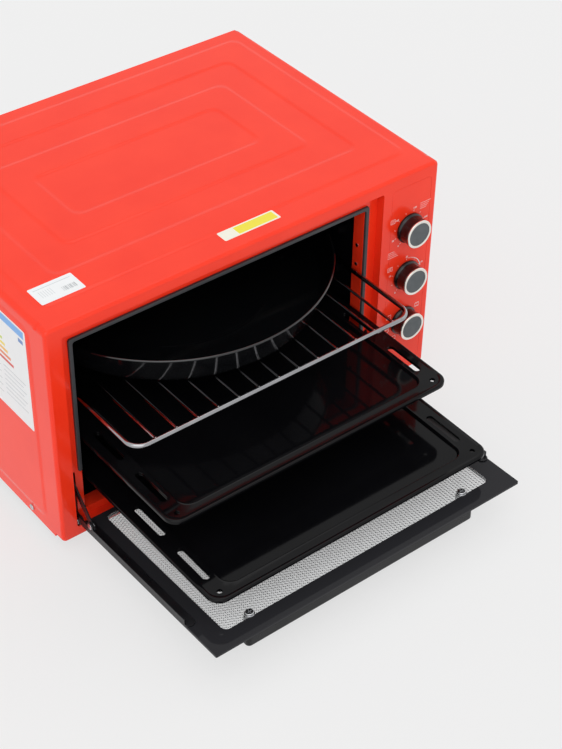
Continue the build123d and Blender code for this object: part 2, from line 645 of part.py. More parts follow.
# Handle: bar under the open door, two posts, screws and washers
with BuildPart() as door_handle:
    handle_y = (AXIS_Y - HANDLE_REACH[1], AXIS_Y - HANDLE_REACH[0])
    plate(HANDLE_X, handle_y, HANDLE_R, -HANDLE_T, DOOR.offset(HANDLE_TOP))
    fillet(door_handle.faces().sort_by(Axis.Z)[0].edges(), radius=3.0)
    for place in post_places:
        disc(place, SCREW_R + SCREW_FIT, -SCREW_BITE, DOOR.offset(HANDLE_TOP), mode=Mode.SUBTRACT)
write(door_handle, "door_handle")
with BuildPart() as handle_posts:
    for place in post_places:
        disc(place, POST_R, HANDLE_DROP, DOOR.offset(HANDLE_TOP))
        disc(place, SCREW_R + SCREW_FIT, HANDLE_DROP, DOOR.offset(HANDLE_TOP), mode=Mode.SUBTRACT)
write(handle_posts, "handle_posts")
with BuildPart() as handle_washers:
    for place in post_places:
        disc(place, WASHER_R, WASHER_T, DOOR.offset(GLASS_TOP))
        disc(place, SCREW_R + SCREW_FIT, WASHER_T, DOOR.offset(GLASS_TOP), mode=Mode.SUBTRACT)
write(handle_washers, "handle_washers")
with BuildPart() as handle_screws:
    head = DOOR.offset(GLASS_TOP + WASHER_T)
    for place in post_places:
        disc(place, SCREW_HEAD_R, SCREW_HEAD_T, head)
    fillet(handle_screws.faces().sort_by(Axis.Z)[-2:].edges(), radius=SCREW_HEAD_EDGE)
    for place in post_places:
        disc(place, SCREW_R, -(WASHER_T + GLASS_T + HANDLE_DROP + SCREW_BITE), head)
        recess = (GLASS_TOP + WASHER_T + SCREW_HEAD_T - RECESS_IN_HEAD, GLASS_TOP + WASHER_T + SCREW_HEAD_T)
        long_cut, thin_cut = SCREW_HEAD_R / 2, RECESS_IN_HEAD / 2.4
        for wide, deep in ((long_cut, thin_cut), (thin_cut, long_cut)):
            block((place[0] - wide, place[0] + wide), (place[1] - deep, place[1] + deep), recess,
                  mode=Mode.SUBTRACT, base=DOOR)
write(handle_screws, "handle_screws")

# Door straps, stay arms, fixed hinge ears and pins, at the left and mirrored at the right
arm_reach = cos(radians(ARM_ANGLE)), sin(radians(ARM_ANGLE))
arm_ends = [
    (ARM_PIVOT[0] + length * arm_reach[0], ARM_PIVOT[1] + length * arm_reach[1])
    for length in (-ARM_TAIL, ARM_L)
]
strap_top = GLASS_TOP + STRAP_RAISE


def hinge_pieces(way):
    """Build the four hinge pieces of the door's left (way 1) or right (way -1) edge."""
    side = "left" if way > 0 else "right"
    edge = STRAP_OUTER if way > 0 else 2 * DOOR_MID_X - STRAP_OUTER

    def across(near, far):
        """Limits across, from the strap's outer face inwards."""
        return sorted((edge + way * near, edge + way * far))

    def at(near):
        """Plane across at a distance inwards from the strap's outer face."""
        return SIDE.offset(edge + way * near)

    def on_door(near):
        """The same plane, turned with the door."""
        return DOOR_SIDE.offset(edge + way * near)

    pivot = ARM_PIVOT_ON_DOOR
    with BuildPart() as strap:
        end_y = AXIS_Y - STRAP_REACH
        with BuildSketch(DOOR.offset(GLASS_TOP)) as foot:
            with Locations((edge + way * STRAP_W / 2, (end_y + AXIS_Y - GLASS_REACH[0] - 1) / 2)):
                Rectangle(STRAP_W, STRAP_REACH - GLASS_REACH[0] - 1)
            fillet(foot.vertices().group_by(Axis.Y)[0], radius=STRAP_W / 2 - FIT)
        extrude(foot.sketch, amount=STRAP_T)
        block(across(0, STRAP_T), (end_y + STRAP_W / 2, AXIS_Y - LUG_R), (GLASS_TOP, strap_top),
              base=DOOR)
        with BuildSketch(on_door(0)) as ears:
            with BuildLine():
                Polyline((pivot[0] - LUG_R, GLASS_TOP), (pivot[0] - LUG_R, pivot[1]),
                         (pivot[0] + LUG_R, pivot[1]), (pivot[0] + LUG_R, GLASS_TOP), close=True)
            make_face()
            with BuildLine():
                Polyline((AXIS_Y - 2 * LUG_R, GLASS_TOP), (AXIS_Y - 2 * LUG_R, strap_top),
                         (AXIS_Y - LUG_R, strap_top), (AXIS_Y + LUG_R, AXIS_Z),
                         (AXIS_Y, AXIS_Z - LUG_R), (AXIS_Y - LUG_R, AXIS_Z), close=True)
            make_face()
            with Locations(pivot, (AXIS_Y, AXIS_Z)):
                Circle(LUG_R)
        extrude(ears.sketch, amount=way * STRAP_T)
        for place in (pivot, (AXIS_Y, AXIS_Z)):
            disc(place, PIVOT_R + PIVOT_FIT, way * STRAP_T, on_door(0), mode=Mode.SUBTRACT)
    write(strap, f"door_strap_{side}")

    with BuildPart() as arm:
        with BuildSketch(at(STRAP_T + ARM_GAP)) as bar:
            with BuildLine() as centre:
                Line(*arm_ends)
            trace(centre.line, line_width=ARM_W)
            with Locations(*arm_ends):
                Circle(ARM_W / 2)
            with Locations(ARM_PIVOT):
                Circle(PIVOT_R + PIVOT_FIT, mode=Mode.SUBTRACT)
        extrude(bar.sketch, amount=way * ARM_T)
    write(arm, f"stay_arm_{side}")

    with BuildPart() as ear:
        ear_z = (SLOT_Z[0] + 0.4, AXIS_Z + LUG_R)
        disc((AXIS_Y, AXIS_Z), LUG_R, way * HINGE_EAR_T, at(HINGE_EAR_OFFSET))
        block(across(HINGE_EAR_OFFSET, HINGE_EAR_OFFSET + HINGE_EAR_T),
              (AXIS_Y, RECESS_DEPTH + FRAME_SKIN + SHEET), ear_z)
        leaf_y = (RECESS_DEPTH + FRAME_SKIN, RECESS_DEPTH + FRAME_SKIN + SHEET)
        leaf_end = abs(CHAMBER_X[0] - CHAMBER_T - STRAP_OUTER) - 0.6
        block(across(HINGE_EAR_OFFSET, leaf_end), leaf_y, HINGE_LEAF_Z)
        disc((AXIS_Y, AXIS_Z), PIVOT_R + FIT / 2, way * HINGE_EAR_T, at(HINGE_EAR_OFFSET),
             mode=Mode.SUBTRACT)
    write(ear, f"hinge_ear_{side}")


hinge_pieces(1)
hinge_pieces(-1)

# Pins: a pair that carries the stay arms, and a pair through the fixed ears and the straps
with BuildPart() as arm_pins:
    for way, edge in ((1, STRAP_OUTER), (-1, 2 * DOOR_MID_X - STRAP_OUTER)):
        arm_pin_l = STRAP_T + ARM_GAP + ARM_T + FIT
        disc(ARM_PIVOT, PIVOT_R, way * arm_pin_l, SIDE.offset(edge))
        disc(ARM_PIVOT, PIVOT_HEAD_R, -way * PIVOT_HEAD_T, SIDE.offset(edge))
        disc(ARM_PIVOT, PIVOT_HEAD_R, way * PIVOT_HEAD_T, SIDE.offset(edge + way * arm_pin_l))
write(arm_pins, "arm_pins")
with BuildPart() as hinge_pins:
    for way, edge in ((1, STRAP_OUTER), (-1, 2 * DOOR_MID_X - STRAP_OUTER)):
        hinge_pin_l = FIT + HINGE_EAR_OFFSET + HINGE_EAR_T + PIVOT_TAIL
        outside_strap = SIDE.offset(edge - way * FIT)
        disc((AXIS_Y, AXIS_Z), PIVOT_R, way * hinge_pin_l, outside_strap)
        disc((AXIS_Y, AXIS_Z), PIVOT_HEAD_R, -way * PIVOT_HEAD_T, outside_strap)
write(hinge_pins, "hinge_pins")

# Two like trays: flange with a curled edge, sunk basin, grip slots and corner holes
for name, front in TRAY_FRONT.items():
    seat = RIB_LEVELS[TRAY_LEVEL[name]] + TRAY_SEAT
    flange_top = seat + TRAY_CURL + TRAY_T
    tray_x = (TRAY_X - TRAY_W / 2, TRAY_X + TRAY_W / 2)
    tray_y = (front, front + TRAY_L)
    basin_x = grown(tray_x, -BASIN_SIDE)
    basin_y = grown(tray_y, -BASIN_END)
    top = LEVEL.offset(flange_top)
    with BuildPart() as tray:
        plate(tray_x, tray_y, TRAY_R, -TRAY_T - TRAY_CURL, top)
        plate(grown(tray_x, -TRAY_T), grown(tray_y, -TRAY_T), TRAY_R - TRAY_T,
              -TRAY_CURL - TRAY_T, top.offset(-TRAY_T), mode=Mode.SUBTRACT)
        with BuildSketch(top) as well:
            with Locations((TRAY_X, middle(tray_y))):
                RectangleRounded(span(basin_x), span(basin_y), BASIN_R)
        extrude(well.sketch, amount=-BASIN_DEPTH, taper=BASIN_TAPER)
        fillet(tray.faces().sort_by(Axis.Z)[0].edges(), radius=4.0)
        with BuildSketch(top) as hollow:
            with Locations((TRAY_X, middle(tray_y))):
                RectangleRounded(span(basin_x) - 2 * TRAY_T, span(basin_y) - 2 * TRAY_T,
                                 BASIN_R - TRAY_T)
        extrude(hollow.sketch, amount=-(BASIN_DEPTH - TRAY_T), taper=BASIN_TAPER, mode=Mode.SUBTRACT)
        with BuildSketch(top) as grips:
            with Locations(*[
                (TRAY_X + way * (TRAY_W / 2 - TRAY_SLOT_EDGE), front + place)
                for way in (-1, 1) for place in TRAY_SLOT_Y
            ]):
                SlotOverall(TRAY_SLOT[1], TRAY_SLOT[0], rotation=90)
            with Locations(*[
                (TRAY_X + way * (TRAY_W / 2 - TRAY_HOLE[0]), front + TRAY_HOLE[1]) for way in (-1, 1)
            ]):
                Circle(TRAY_HOLE_R)
        extrude(grips.sketch, amount=-2 * TRAY_T, mode=Mode.SUBTRACT)
    write(tray, name)

# Wire rack: a closed rim wire with rods welded between its front and back
rack_level = RIB_LEVELS[RACK_LEVEL] + TRAY_SEAT + RACK_WIRE_R
rack_mid = RACK_FRONT + TRAY_L / 2
wire_x = TRAY_W / 2 - RACK_WIRE_R
wire_y = TRAY_L / 2 - RACK_WIRE_R
with BuildPart() as wire_rack:
    with BuildLine(Plane(origin=(TRAY_X, FRONT_Y + rack_mid, FOOT_H + rack_level))) as rim:
        FilletPolyline((-wire_x, -wire_y), (wire_x, -wire_y), (wire_x, wire_y), (-wire_x, wire_y),
                       radius=RACK_CORNER_R, close=True)
    with BuildSketch(Plane(origin=rim.line @ 0, z_dir=rim.line % 0)):
        Circle(RACK_WIRE_R)
    sweep()
    rod_step = 2 * wire_x / (RACK_RODS + 1)
    for number in range(1, RACK_RODS + 1):
        rod_x = TRAY_X - wire_x + number * rod_step
        disc((rod_x, rack_level + RACK_ROD_RAISE), RACK_ROD_R, 2 * wire_y,
             FRONT.offset(-(rack_mid + wire_y)))
write(wire_rack, "wire_rack")

# Round pan on the rack, with a sloping wall and a rolled rim
pan_base = rack_level + max(RACK_WIRE_R, RACK_ROD_RAISE + RACK_ROD_R) + FIT
with BuildPart() as round_pan:
    with BuildSketch(Plane(origin=(PAN_X, FRONT_Y + PAN_Y, FOOT_H + pan_base), x_dir=(1, 0, 0),
                           z_dir=(0, -1, 0))) as profile:
        with BuildLine():
            Polyline((0, 0), (PAN_BASE_R, 0), (PAN_RIM_R, PAN_H), (PAN_RIM_R - PAN_T, PAN_H),
                     (PAN_BASE_R - PAN_T, PAN_T), (0, PAN_T), close=True)
        make_face()
        with Locations((PAN_RIM_R, PAN_H)):
            Circle(PAN_BEAD_R)
    revolve(axis=Axis((PAN_X, FRONT_Y + PAN_Y, 0), (0, 0, 1)))
write(round_pan, "round_pan")

# Feet, under the base panel
with BuildPart() as feet:
    foot_x = half_w - FOOT_INSET[0]
    foot_y = (FOOT_INSET[1], BODY_D - FOOT_INSET[1])
    with Locations(*[
        (x, FRONT_Y + y, FOOT_H / 2) for x in (-foot_x, foot_x) for y in foot_y
    ]):
        Cone(FOOT_BASE_R, FOOT_TOP_R, FOOT_H)
write(feet, "feet")

# Screws of the back panel and of the casing's lower edges
with BuildPart() as back_screws:
    for place in back_fixing_places:
        disc(place, FIXING_HEAD_R, -FIXING_HEAD_T, FRONT.offset(-BODY_D))
        disc(place, FIXING_R, FIXING_L, FRONT.offset(-BODY_D))
write(back_screws, "back_screws")
with BuildPart() as side_screws:
    for way in (-1, 1):
        for place in SIDE_FIXING_Y:
            edge_plane = SIDE.offset(way * half_w)
            disc((place, SIDE_FIXING_Z), FIXING_HEAD_R, way * FIXING_HEAD_T, edge_plane)
            disc((place, SIDE_FIXING_Z), FIXING_R, -way * FIXING_L, edge_plane)
write(side_screws, "side_screws")

# Screws that hold the front frame's lip to the chamber's side walls
with BuildPart() as lip_screws:
    for face, outward in zip(MOUTH_X, (-1, 1)):
        for height in LIP_SCREW_Z:
            place = (LIP_SCREW_Y, height)
            disc(place, LIP_SCREW_HEAD_R, -outward * LIP_SCREW_HEAD_T, SIDE.offset(face))
            disc(place, LIP_SCREW_R, outward * LIP_SCREW_L, SIDE.offset(face))
write(lip_screws, "lip_screws")

# Plain paper labels, all without text
with BuildPart() as side_label:
    plate(*SIDE_LABEL, 2.0, -LABEL_T, SIDE.offset(-half_w - EMBOSS))
write(side_label, "side_label")
with BuildPart() as top_label_left:
    plate(*LEFT_LABEL, 1.5, LABEL_T, LEVEL.offset(BODY_H + EMBOSS))
write(top_label_left, "top_label_left")
with BuildPart() as top_label_front:
    plate(*FRONT_LABEL, 1.5, LABEL_T, LEVEL.offset(BODY_H))
write(top_label_front, "top_label_front")
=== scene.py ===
import sys
import json
import logging
from dataclasses import dataclass
from enum import Enum
from math import cos, radians, sin
from typing import Callable, Iterable, Sequence

import bmesh
import bpy
from mathutils import Matrix, Vector


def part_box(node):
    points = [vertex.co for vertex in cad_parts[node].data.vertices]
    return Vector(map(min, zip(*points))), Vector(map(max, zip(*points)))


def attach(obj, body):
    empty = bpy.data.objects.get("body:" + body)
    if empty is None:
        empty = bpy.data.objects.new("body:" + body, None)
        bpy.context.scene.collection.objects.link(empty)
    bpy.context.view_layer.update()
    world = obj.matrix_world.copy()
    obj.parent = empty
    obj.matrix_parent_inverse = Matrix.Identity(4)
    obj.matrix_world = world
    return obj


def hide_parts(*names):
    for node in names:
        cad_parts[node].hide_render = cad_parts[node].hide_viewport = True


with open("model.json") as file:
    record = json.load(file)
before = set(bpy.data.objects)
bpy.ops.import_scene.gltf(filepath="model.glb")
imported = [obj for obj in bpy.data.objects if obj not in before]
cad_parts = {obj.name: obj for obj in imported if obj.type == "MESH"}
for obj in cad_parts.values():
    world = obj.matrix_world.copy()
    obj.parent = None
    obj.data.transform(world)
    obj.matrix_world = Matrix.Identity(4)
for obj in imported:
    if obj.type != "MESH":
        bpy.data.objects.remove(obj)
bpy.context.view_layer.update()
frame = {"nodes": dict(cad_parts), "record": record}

log = logging.getLogger("oven")

MM = 0.001
SAME = 1e-6
FACING = 0.9
FRAME_LOW = Vector(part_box("front_frame")[0])
ORIGIN = Vector((0.0, FRAME_LOW.y, FRAME_LOW.z))
ACROSS = Vector((1, 0, 0))
FORWARD = Vector((0, -1, 0))
BACK = Vector((0, 1, 0))
UP = Vector((0, 0, 1))
DOOR_AXIS_Y = 2.5
DOOR_AXIS_Z = 20.0
DOOR_RISE = radians(2.2)
KNOB_X = 212.0
KNOB_HEIGHTS = {"thermostat": 208.0, "timer": 144.0, "selector": 80.0}
SHEET_X = -27.0
SHEET_WIDTH = 361.0
SHEET_LENGTH = 300.0
Piece = bpy.types.Object
Material = bpy.types.Material
Socket = bpy.types.NodeSocket
Edge = bmesh.types.BMEdge
Inputs = dict[str | int, object] | None
RGB = tuple[float, float, float]
Point = tuple[float, float, float]
Span = tuple[float, float]
Band = tuple[Span, Span, str, int]


class Body(Enum):
    """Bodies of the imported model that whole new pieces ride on."""

    CASING = "casing"
    RACK = "rack"
    UPPER_TRAY = "tray_upper"
    LOWER_TRAY = "tray_lower"


class Slot(Enum):
    """Material slots of the record."""

    RED = "red_enamel"
    BLACK = "black_enamel"
    COAT = "black_coat"
    ZINC = "zinc_sheet"
    CHROME = "chrome_wire"
    SCREW = "steel_screw"
    HEATER = "heater_tube"
    CERAMIC = "ceramic"
    GLASS = "clear_glass"
    SEAL = "seal_rubber"
    FOOT = "foot_rubber"
    FASCIA = "fascia_print"
    KNOB = "knob_black"
    RING = "knob_ring"
    CAP = "knob_cap"
    PLASTIC = "control_plastic"
    PAPER = "label_paper"


def at(x: float, y: float, z: float) -> Vector:
    """Point from millimetres across, behind the front and above the casing's bottom."""
    return ORIGIN + Vector((x, y, z)) * MM


def srgb(text: str) -> RGB:
    """Linear colour of a six-digit hexadecimal colour."""
    values = [int(text[place:place + 2], 16) / 255 for place in (0, 2, 4)]
    return tuple(v / 12.92 if v < 0.04045 else ((v + 0.055) / 1.055) ** 2.4 for v in values)


def deselect() -> None:
    """Leave edit mode and deselect everything."""
    if bpy.context.object and bpy.context.object.mode != "OBJECT":
        bpy.ops.object.mode_set(mode="OBJECT")
    bpy.ops.object.select_all(action="DESELECT")


def only(piece: Piece) -> None:
    """Select one object alone and make it active."""
    deselect()
    piece.select_set(True)
    bpy.context.view_layer.objects.active = piece


def named(piece: Piece, name: str) -> Piece:
    """Name an object and its mesh.

    Args:
        piece: The object.
        name: Its new name.

    Returns:
        The object.
    """
    piece.name = name
    piece.data.name = name
    return piece


def settle(piece: Piece) -> None:
    """Move a piece's place, turn and scale into its mesh."""
    only(piece)
    bpy.ops.object.transform_apply(location=True, rotation=True, scale=True)


def apply(piece: Piece, kind: str, **values: object) -> None:
    """Add a modifier and apply it.

    Args:
        piece: The object that is changed.
        kind: Blender's name of the modifier's type.
        values: The modifier's settings.
    """
    modifier = piece.modifiers.new(kind.title(), kind)
    for key, value in values.items():
        setattr(modifier, key, value)
    only(piece)
    bpy.ops.object.modifier_apply(modifier=modifier.name)


def edit(piece: Piece, mode: str = "FACE", action: str = "DESELECT") -> None:
    """Open a piece in edit mode.

    Args:
        piece: The piece.
        mode: The kind of element that is selected.
        action: "DESELECT" for nothing selected and "SELECT" for all of it.
    """
    only(piece)
    bpy.ops.object.mode_set(mode="EDIT")
    bpy.ops.mesh.select_mode(type=mode)
    bpy.ops.mesh.select_all(action=action)


def close() -> None:
    """Leave edit mode."""
    bpy.ops.object.mode_set(mode="OBJECT")


def inset_by(width: float, lift: float = 0.0) -> None:
    """Inset the selected faces by a width and lift them, both in millimetres."""
    bpy.ops.mesh.inset(thickness=width * MM, depth=lift * MM)


def inset_steps(steps: Iterable[Span]) -> None:
    """Inset and lift the selected faces step by step."""
    for width, lift in steps:
        inset_by(width, lift)


def thicken(piece: Piece, sheet: float) -> None:
    """Turn a surface into a sheet of a thickness in millimetres, on its inner side."""
    apply(piece, "SOLIDIFY", thickness=sheet * MM, offset=-1.0, use_even_offset=True)


def pick(piece: Piece, part: str, rule: Callable[[object], bool]) -> None:
    """Select the vertices, edges or faces of the piece in edit mode that a rule accepts.

    Args:
        piece: The object in edit mode.
        part: One of "verts", "edges" and "faces".
        rule: Says whether an element is selected.
    """
    mesh = bmesh.from_edit_mesh(piece.data)
    for group in (mesh.faces, mesh.edges, mesh.verts):
        for element in group:
            element.select = False
    for element in [element for element in getattr(mesh, part) if rule(element)]:
        element.select_set(True)
    mesh.select_flush_mode()
    bmesh.update_edit_mesh(piece.data)


def drop_faces(piece: Piece, rule: Callable[[object], bool]) -> None:
    """Delete the faces of the piece in edit mode that a rule accepts."""
    pick(piece, "faces", rule)
    bpy.ops.mesh.delete(type="FACE")


def block(name: str, low: Vector, high: Vector) -> Piece:
    """Cube primitive stretched between two corners.

    Args:
        name: The block's name.
        low: Its lowest corner.
        high: Its highest corner.

    Returns:
        The block with its place in its mesh.
    """
    deselect()
    bpy.ops.mesh.primitive_cube_add(size=1, location=(low + high) / 2)
    piece = bpy.context.object
    piece.scale = high - low
    settle(piece)
    return named(piece, name)


def turned(
    name: str, centre: Vector, axis: Vector, profile: Sequence[Span], sides: int = 64
) -> Piece:
    """Turned piece: a disc that is extruded and resized along a profile.

    Args:
        name: The piece's name.
        centre: Where the profile's height is zero.
        axis: Direction in which the profile's height grows.
        profile: Pairs of radius and height in millimetres, from the closed base on.
        sides: Number of sides round the axis.

    Returns:
        The closed piece with its place in its mesh.
    """
    deselect()
    first_radius, first_height = profile[0]
    start = centre + axis * first_height * MM
    bpy.ops.mesh.primitive_circle_add(
        vertices=sides, radius=first_radius * MM, fill_type="NGON", location=start,
        rotation=axis.to_track_quat("Z", "Y").to_euler(),
    )
    piece = named(bpy.context.object, name)
    settle(piece)
    bpy.ops.object.mode_set(mode="EDIT")
    bpy.ops.mesh.select_all(action="SELECT")
    radius, height = first_radius, first_height
    for next_radius, next_height in profile[1:]:
        step = axis * (next_height - height) * MM
        bpy.ops.mesh.extrude_region_move(TRANSFORM_OT_translate={"value": step})
        if abs(next_radius - radius) > SAME:
            ratio = next_radius / radius
            bpy.ops.transform.resize(
                value=(ratio,) * 3, center_override=centre + axis * next_height * MM
            )
        radius, height = next_radius, next_height
    bpy.ops.mesh.select_all(action="SELECT")
    bpy.ops.mesh.normals_make_consistent(inside=False)
    close()
    return piece


def join(name: str, pieces: Iterable[Piece]) -> Piece:
    """Join several objects into one.

    Args:
        name: The new name.
        pieces: The objects that are joined.

    Returns:
        The joined object.
    """
    pieces = list(pieces)
    only(pieces[0])
    for piece in pieces:
        piece.select_set(True)
    bpy.ops.object.join()
    return named(bpy.context.object, name)


def cut(piece: Piece, cutter: Piece) -> None:
    """Subtract one object from another and remove the cutter."""
    apply(piece, "BOOLEAN", operation="DIFFERENCE", object=cutter, solver="EXACT")
    bpy.data.objects.remove(cutter, do_unlink=True)


def slot_cutter(centre: Vector, size: Point, along: Vector, through: Vector) -> Piece:
    """Cutter with two round ends.

    Args:
        centre: Middle of the slot.
        size: Width, overall length and depth through the sheet, in millimetres.
        along: Direction of the slot's length.
        through: Direction through the sheet.

    Returns:
        The cutter.
    """
    def upright(edge: Edge) -> bool:
        """Whether the edge runs through the sheet."""
        run = edge.verts[0].co - edge.verts[1].co
        return abs(run.normalized().dot(through)) > FACING

    turn = Matrix((along.cross(through), along, through)).transposed().to_4x4()
    stretch = Matrix.Diagonal((*(Vector(size) * MM), 1.0))
    roundness = 0.98
    deselect()
    bpy.ops.mesh.primitive_cube_add(size=1)
    piece = bpy.context.object
    piece.matrix_world = Matrix.Translation(centre) @ turn @ stretch
    settle(piece)
    edit(piece, "EDGE")
    pick(piece, "edges", upright)
    bpy.ops.mesh.bevel(offset=size[0] / 2 * MM * roundness, segments=8)
    close()
    return piece


def round_mitres(
    piece: Piece, radius: float, plan: tuple[int, int],
    rule: Callable[[Edge], bool] = lambda edge: True, segments: int = 8,
) -> None:
    """Round the corners of nested rectangles by bevelling the edges between their corners.

    Args:
        piece: The object in edit mode.
        radius: Corner radius in millimetres.
        plan: The two axes of the plane that the rectangles lie in.
        rule: Says whether an edge belongs to the nest.
        segments: Segments round a corner.
    """
    def mitre(edge: Edge) -> bool:
        """Whether the edge runs along both of the plan's axes or along neither."""
        run = edge.verts[1].co - edge.verts[0].co
        moved = [abs(run[axis]) > SAME for axis in plan]
        return moved[0] == moved[1] and rule(edge)

    bpy.ops.mesh.select_mode(type="EDGE")
    pick(piece, "edges", mitre)
    bpy.ops.mesh.bevel(
        offset=radius * 2 ** 0.5 * MM, offset_type="WIDTH", segments=segments,
        affect="EDGES", clamp_overlap=False,
    )
    bpy.ops.mesh.select_mode(type="FACE")


def soften(piece: Piece, width: float = 0, segments: int = 2, angle: float = 35) -> None:
    """Bevel a piece's edges and shade it smooth, with its flat faces kept flat.

    Args:
        piece: The object that is changed.
        width: Bevel width in millimetres, or 0 for none.
        segments: Segments over the bevel.
        angle: Least angle between two faces, in degrees, at which their edge is bevelled.
    """
    smooth_below = radians(40)
    if width > 0:
        apply(
            piece, "BEVEL", width=width * MM, segments=segments, limit_method="ANGLE",
            angle_limit=radians(angle), use_clamp_overlap=True, miter_outer="MITER_ARC",
        )
    only(piece)
    bpy.ops.object.shade_smooth_by_angle(angle=smooth_below)
    apply(piece, "WEIGHTED_NORMAL", keep_sharp=True, weight=60)


class Graph:
    """Node tree of one material, with short calls to add and join nodes."""

    def __init__(self, name: str) -> None:
        """Start a material with a Principled shader alone."""
        self.material = bpy.data.materials.new(name)
        self.material.use_nodes = True
        self.tree = self.material.node_tree
        self.shader = self.tree.nodes["Principled BSDF"]
        self.output = self.tree.nodes["Material Output"]
        self.coordinates = self.add("ShaderNodeTexCoord").outputs["Object"]

    def add(self, kind: str, inputs: Inputs = None, **values: object) -> bpy.types.Node:
        """Add a node.

        Args:
            kind: The node's type.
            inputs: What its inputs are linked or set to, by name or number.
            values: The node's attributes.

        Returns:
            The node.
        """
        node = self.tree.nodes.new(kind)
        for key, value in values.items():
            setattr(node, key, value)
        for key, value in (inputs or {}).items():
            self.feed(node.inputs[key], value)
        return node

    def feed(self, socket: Socket, value: object) -> None:
        """Link a socket to another one, or set it.

        Args:
            socket: The input.
            value: The output that is linked to it, or its value.
        """
        if isinstance(value, Socket):
            self.tree.links.new(value, socket)
        else:
            socket.default_value = value

    def put(self, **values: object) -> None:
        """Set or link inputs of the shader.

        Args:
            values: The inputs, named with underscores for spaces.
        """
        for key, value in values.items():
            if isinstance(value, tuple) and len(value) == 3:
                value = (*value, 1.0)
            self.feed(self.shader.inputs[key.replace("_", " ")], value)

    def math(self, operation: str, *values: object) -> Socket:
        """Result of a Math node."""
        return self.add("ShaderNodeMath", dict(enumerate(values)), operation=operation).outputs[0]

    def axes(self) -> tuple[Socket, ...]:
        """The three parts of the place, in millimetres, measured as the sizes are."""
        place = self.add("ShaderNodeMapping", {
            "Vector": self.coordinates, "Location": -ORIGIN / MM, "Scale": (1 / MM,) * 3,
        })
        return tuple(self.add("ShaderNodeSeparateXYZ", {0: place.outputs[0]}).outputs)

    def noise(self, size: float, detail: float) -> Socket:
        """Noise over the object.

        Args:
            size: Size of its spots in millimetres.
            detail: How many finer octaves it has.

        Returns:
            The noise's output.
        """
        place = self.add("ShaderNodeMapping", {
            "Vector": self.coordinates, "Scale": (1 / (size * MM),) * 3,
        })
        inputs = {"Vector": place.outputs[0], "Scale": 1.0, "Detail": detail}
        return self.add("ShaderNodeTexNoise", inputs).outputs["Fac"]

    def cells(self, size: float) -> bpy.types.Node:
        """Voronoi cells of about a size in millimetres."""
        inputs = {"Vector": self.coordinates, "Scale": 1 / (size * MM)}
        return self.add("ShaderNodeTexVoronoi", inputs)

    def spread(
        self, value: object, low: float, high: float, start: float = 0.3, end: float = 0.7
    ) -> Socket:
        """Value mapped from a range to another, and kept inside it."""
        inputs = dict(enumerate((value, start, end, low, high)))
        return self.add("ShaderNodeMapRange", inputs).outputs[0]

    def blend(self, factor: object, first: object, second: object) -> Socket:
        """Mix of two colours.

        Args:
            factor: Share of the second colour.
            first: The first colour, or its socket.
            second: The second colour, or its socket.

        Returns:
            The mix.
        """
        colours = ((*c, 1.0) if isinstance(c, tuple) else c for c in (first, second))
        inputs = {"Factor": factor, **dict(zip((6, 7), colours))}
        return self.add("ShaderNodeMix", inputs, data_type="RGBA").outputs[2]

    def worn(self, roughness: float, size: float, detail: float, low: float, high: float) -> Socket:
        """Roughness that wanders between two shares of itself, in spots of about a size."""
        return self.spread(self.noise(size, detail), roughness * low, roughness * high)

    def squares(self, parts: Iterable[Socket]) -> Socket:
        """Sum of two values' squares."""
        return self.math("ADD", *(self.math("MULTIPLY", part, part) for part in parts))

    def bump(self, height: object, strength: float, depth: float) -> None:
        """Bump from a height, at a depth in millimetres."""
        inputs = {"Strength": strength, "Distance": depth * MM, "Height": height}
        self.feed(self.shader.inputs["Normal"], self.add("ShaderNodeBump", inputs).outputs[0])

    def between(self, value: object, low: float, high: float) -> Socket:
        """Whether a value lies inside a range.

        Args:
            value: The value.
            low: The range's lower end.
            high: The range's upper end.

        Returns:
            One inside the range, zero outside.
        """
        above = self.math("GREATER_THAN", value, low)
        below = self.math("LESS_THAN", value, high)
        return self.math("MULTIPLY", above, below)


@dataclass(frozen=True)
class Moulded:
    """Moulded plastic, rubber or glazed ceramic with a fine texture."""

    name: str
    colour: str
    shade: str
    roughness: float = 0.4
    grain: float = 0.5
    depth: float = 0.02
    cloud: Span = (12.0, 3.0)
    patch: Span = (6.0, 3.0)
    wander: Span = (0.85, 1.2)
    grain_detail: float = 2.0
    relief: float = 0.3
    metallic: float = 0.0
    gloss: float = 0.5

    def hue(self, graph: Graph) -> Socket:
        """The colour, clouded with the shade."""
        tone = graph.spread(graph.noise(*self.cloud), 0.0, 1.0)
        return graph.blend(tone, srgb(self.colour), srgb(self.shade))

    def material(self) -> Material:
        """Build the material."""
        graph = Graph(self.name)
        graph.put(
            Base_Color=self.hue(graph),
            Metallic=self.metallic,
            Roughness=graph.worn(self.roughness, *self.patch, *self.wander),
            Specular_IOR_Level=self.gloss,
        )
        graph.bump(graph.noise(self.grain, self.grain_detail), self.relief, self.depth)
        return graph.material


@dataclass(frozen=True)
class Metal(Moulded):
    """Bare or plated metal with a fine grain and, where it is galvanised, spangles."""

    roughness: float = 0.2
    grain: float = 0.3
    depth: float = 0.01
    cloud: Span = (20.0, 4.0)
    patch: Span = (8.0, 3.0)
    wander: Span = (0.75, 1.35)
    relief: float = 0.25
    metallic: float = 1.0
    spangle: float = 0.0

    def hue(self, graph: Graph) -> Socket:
        """Cloud of the two colours, or one mix of them for each spangle.

        Args:
            graph: The material's nodes.

        Returns:
            The colour.
        """
        if not self.spangle:
            return super().hue(graph)
        spangle = graph.cells(self.spangle).outputs["Color"]
        tone = graph.add("ShaderNodeSeparateColor", {0: spangle}).outputs[0]
        return graph.blend(tone, srgb(self.colour), srgb(self.shade))


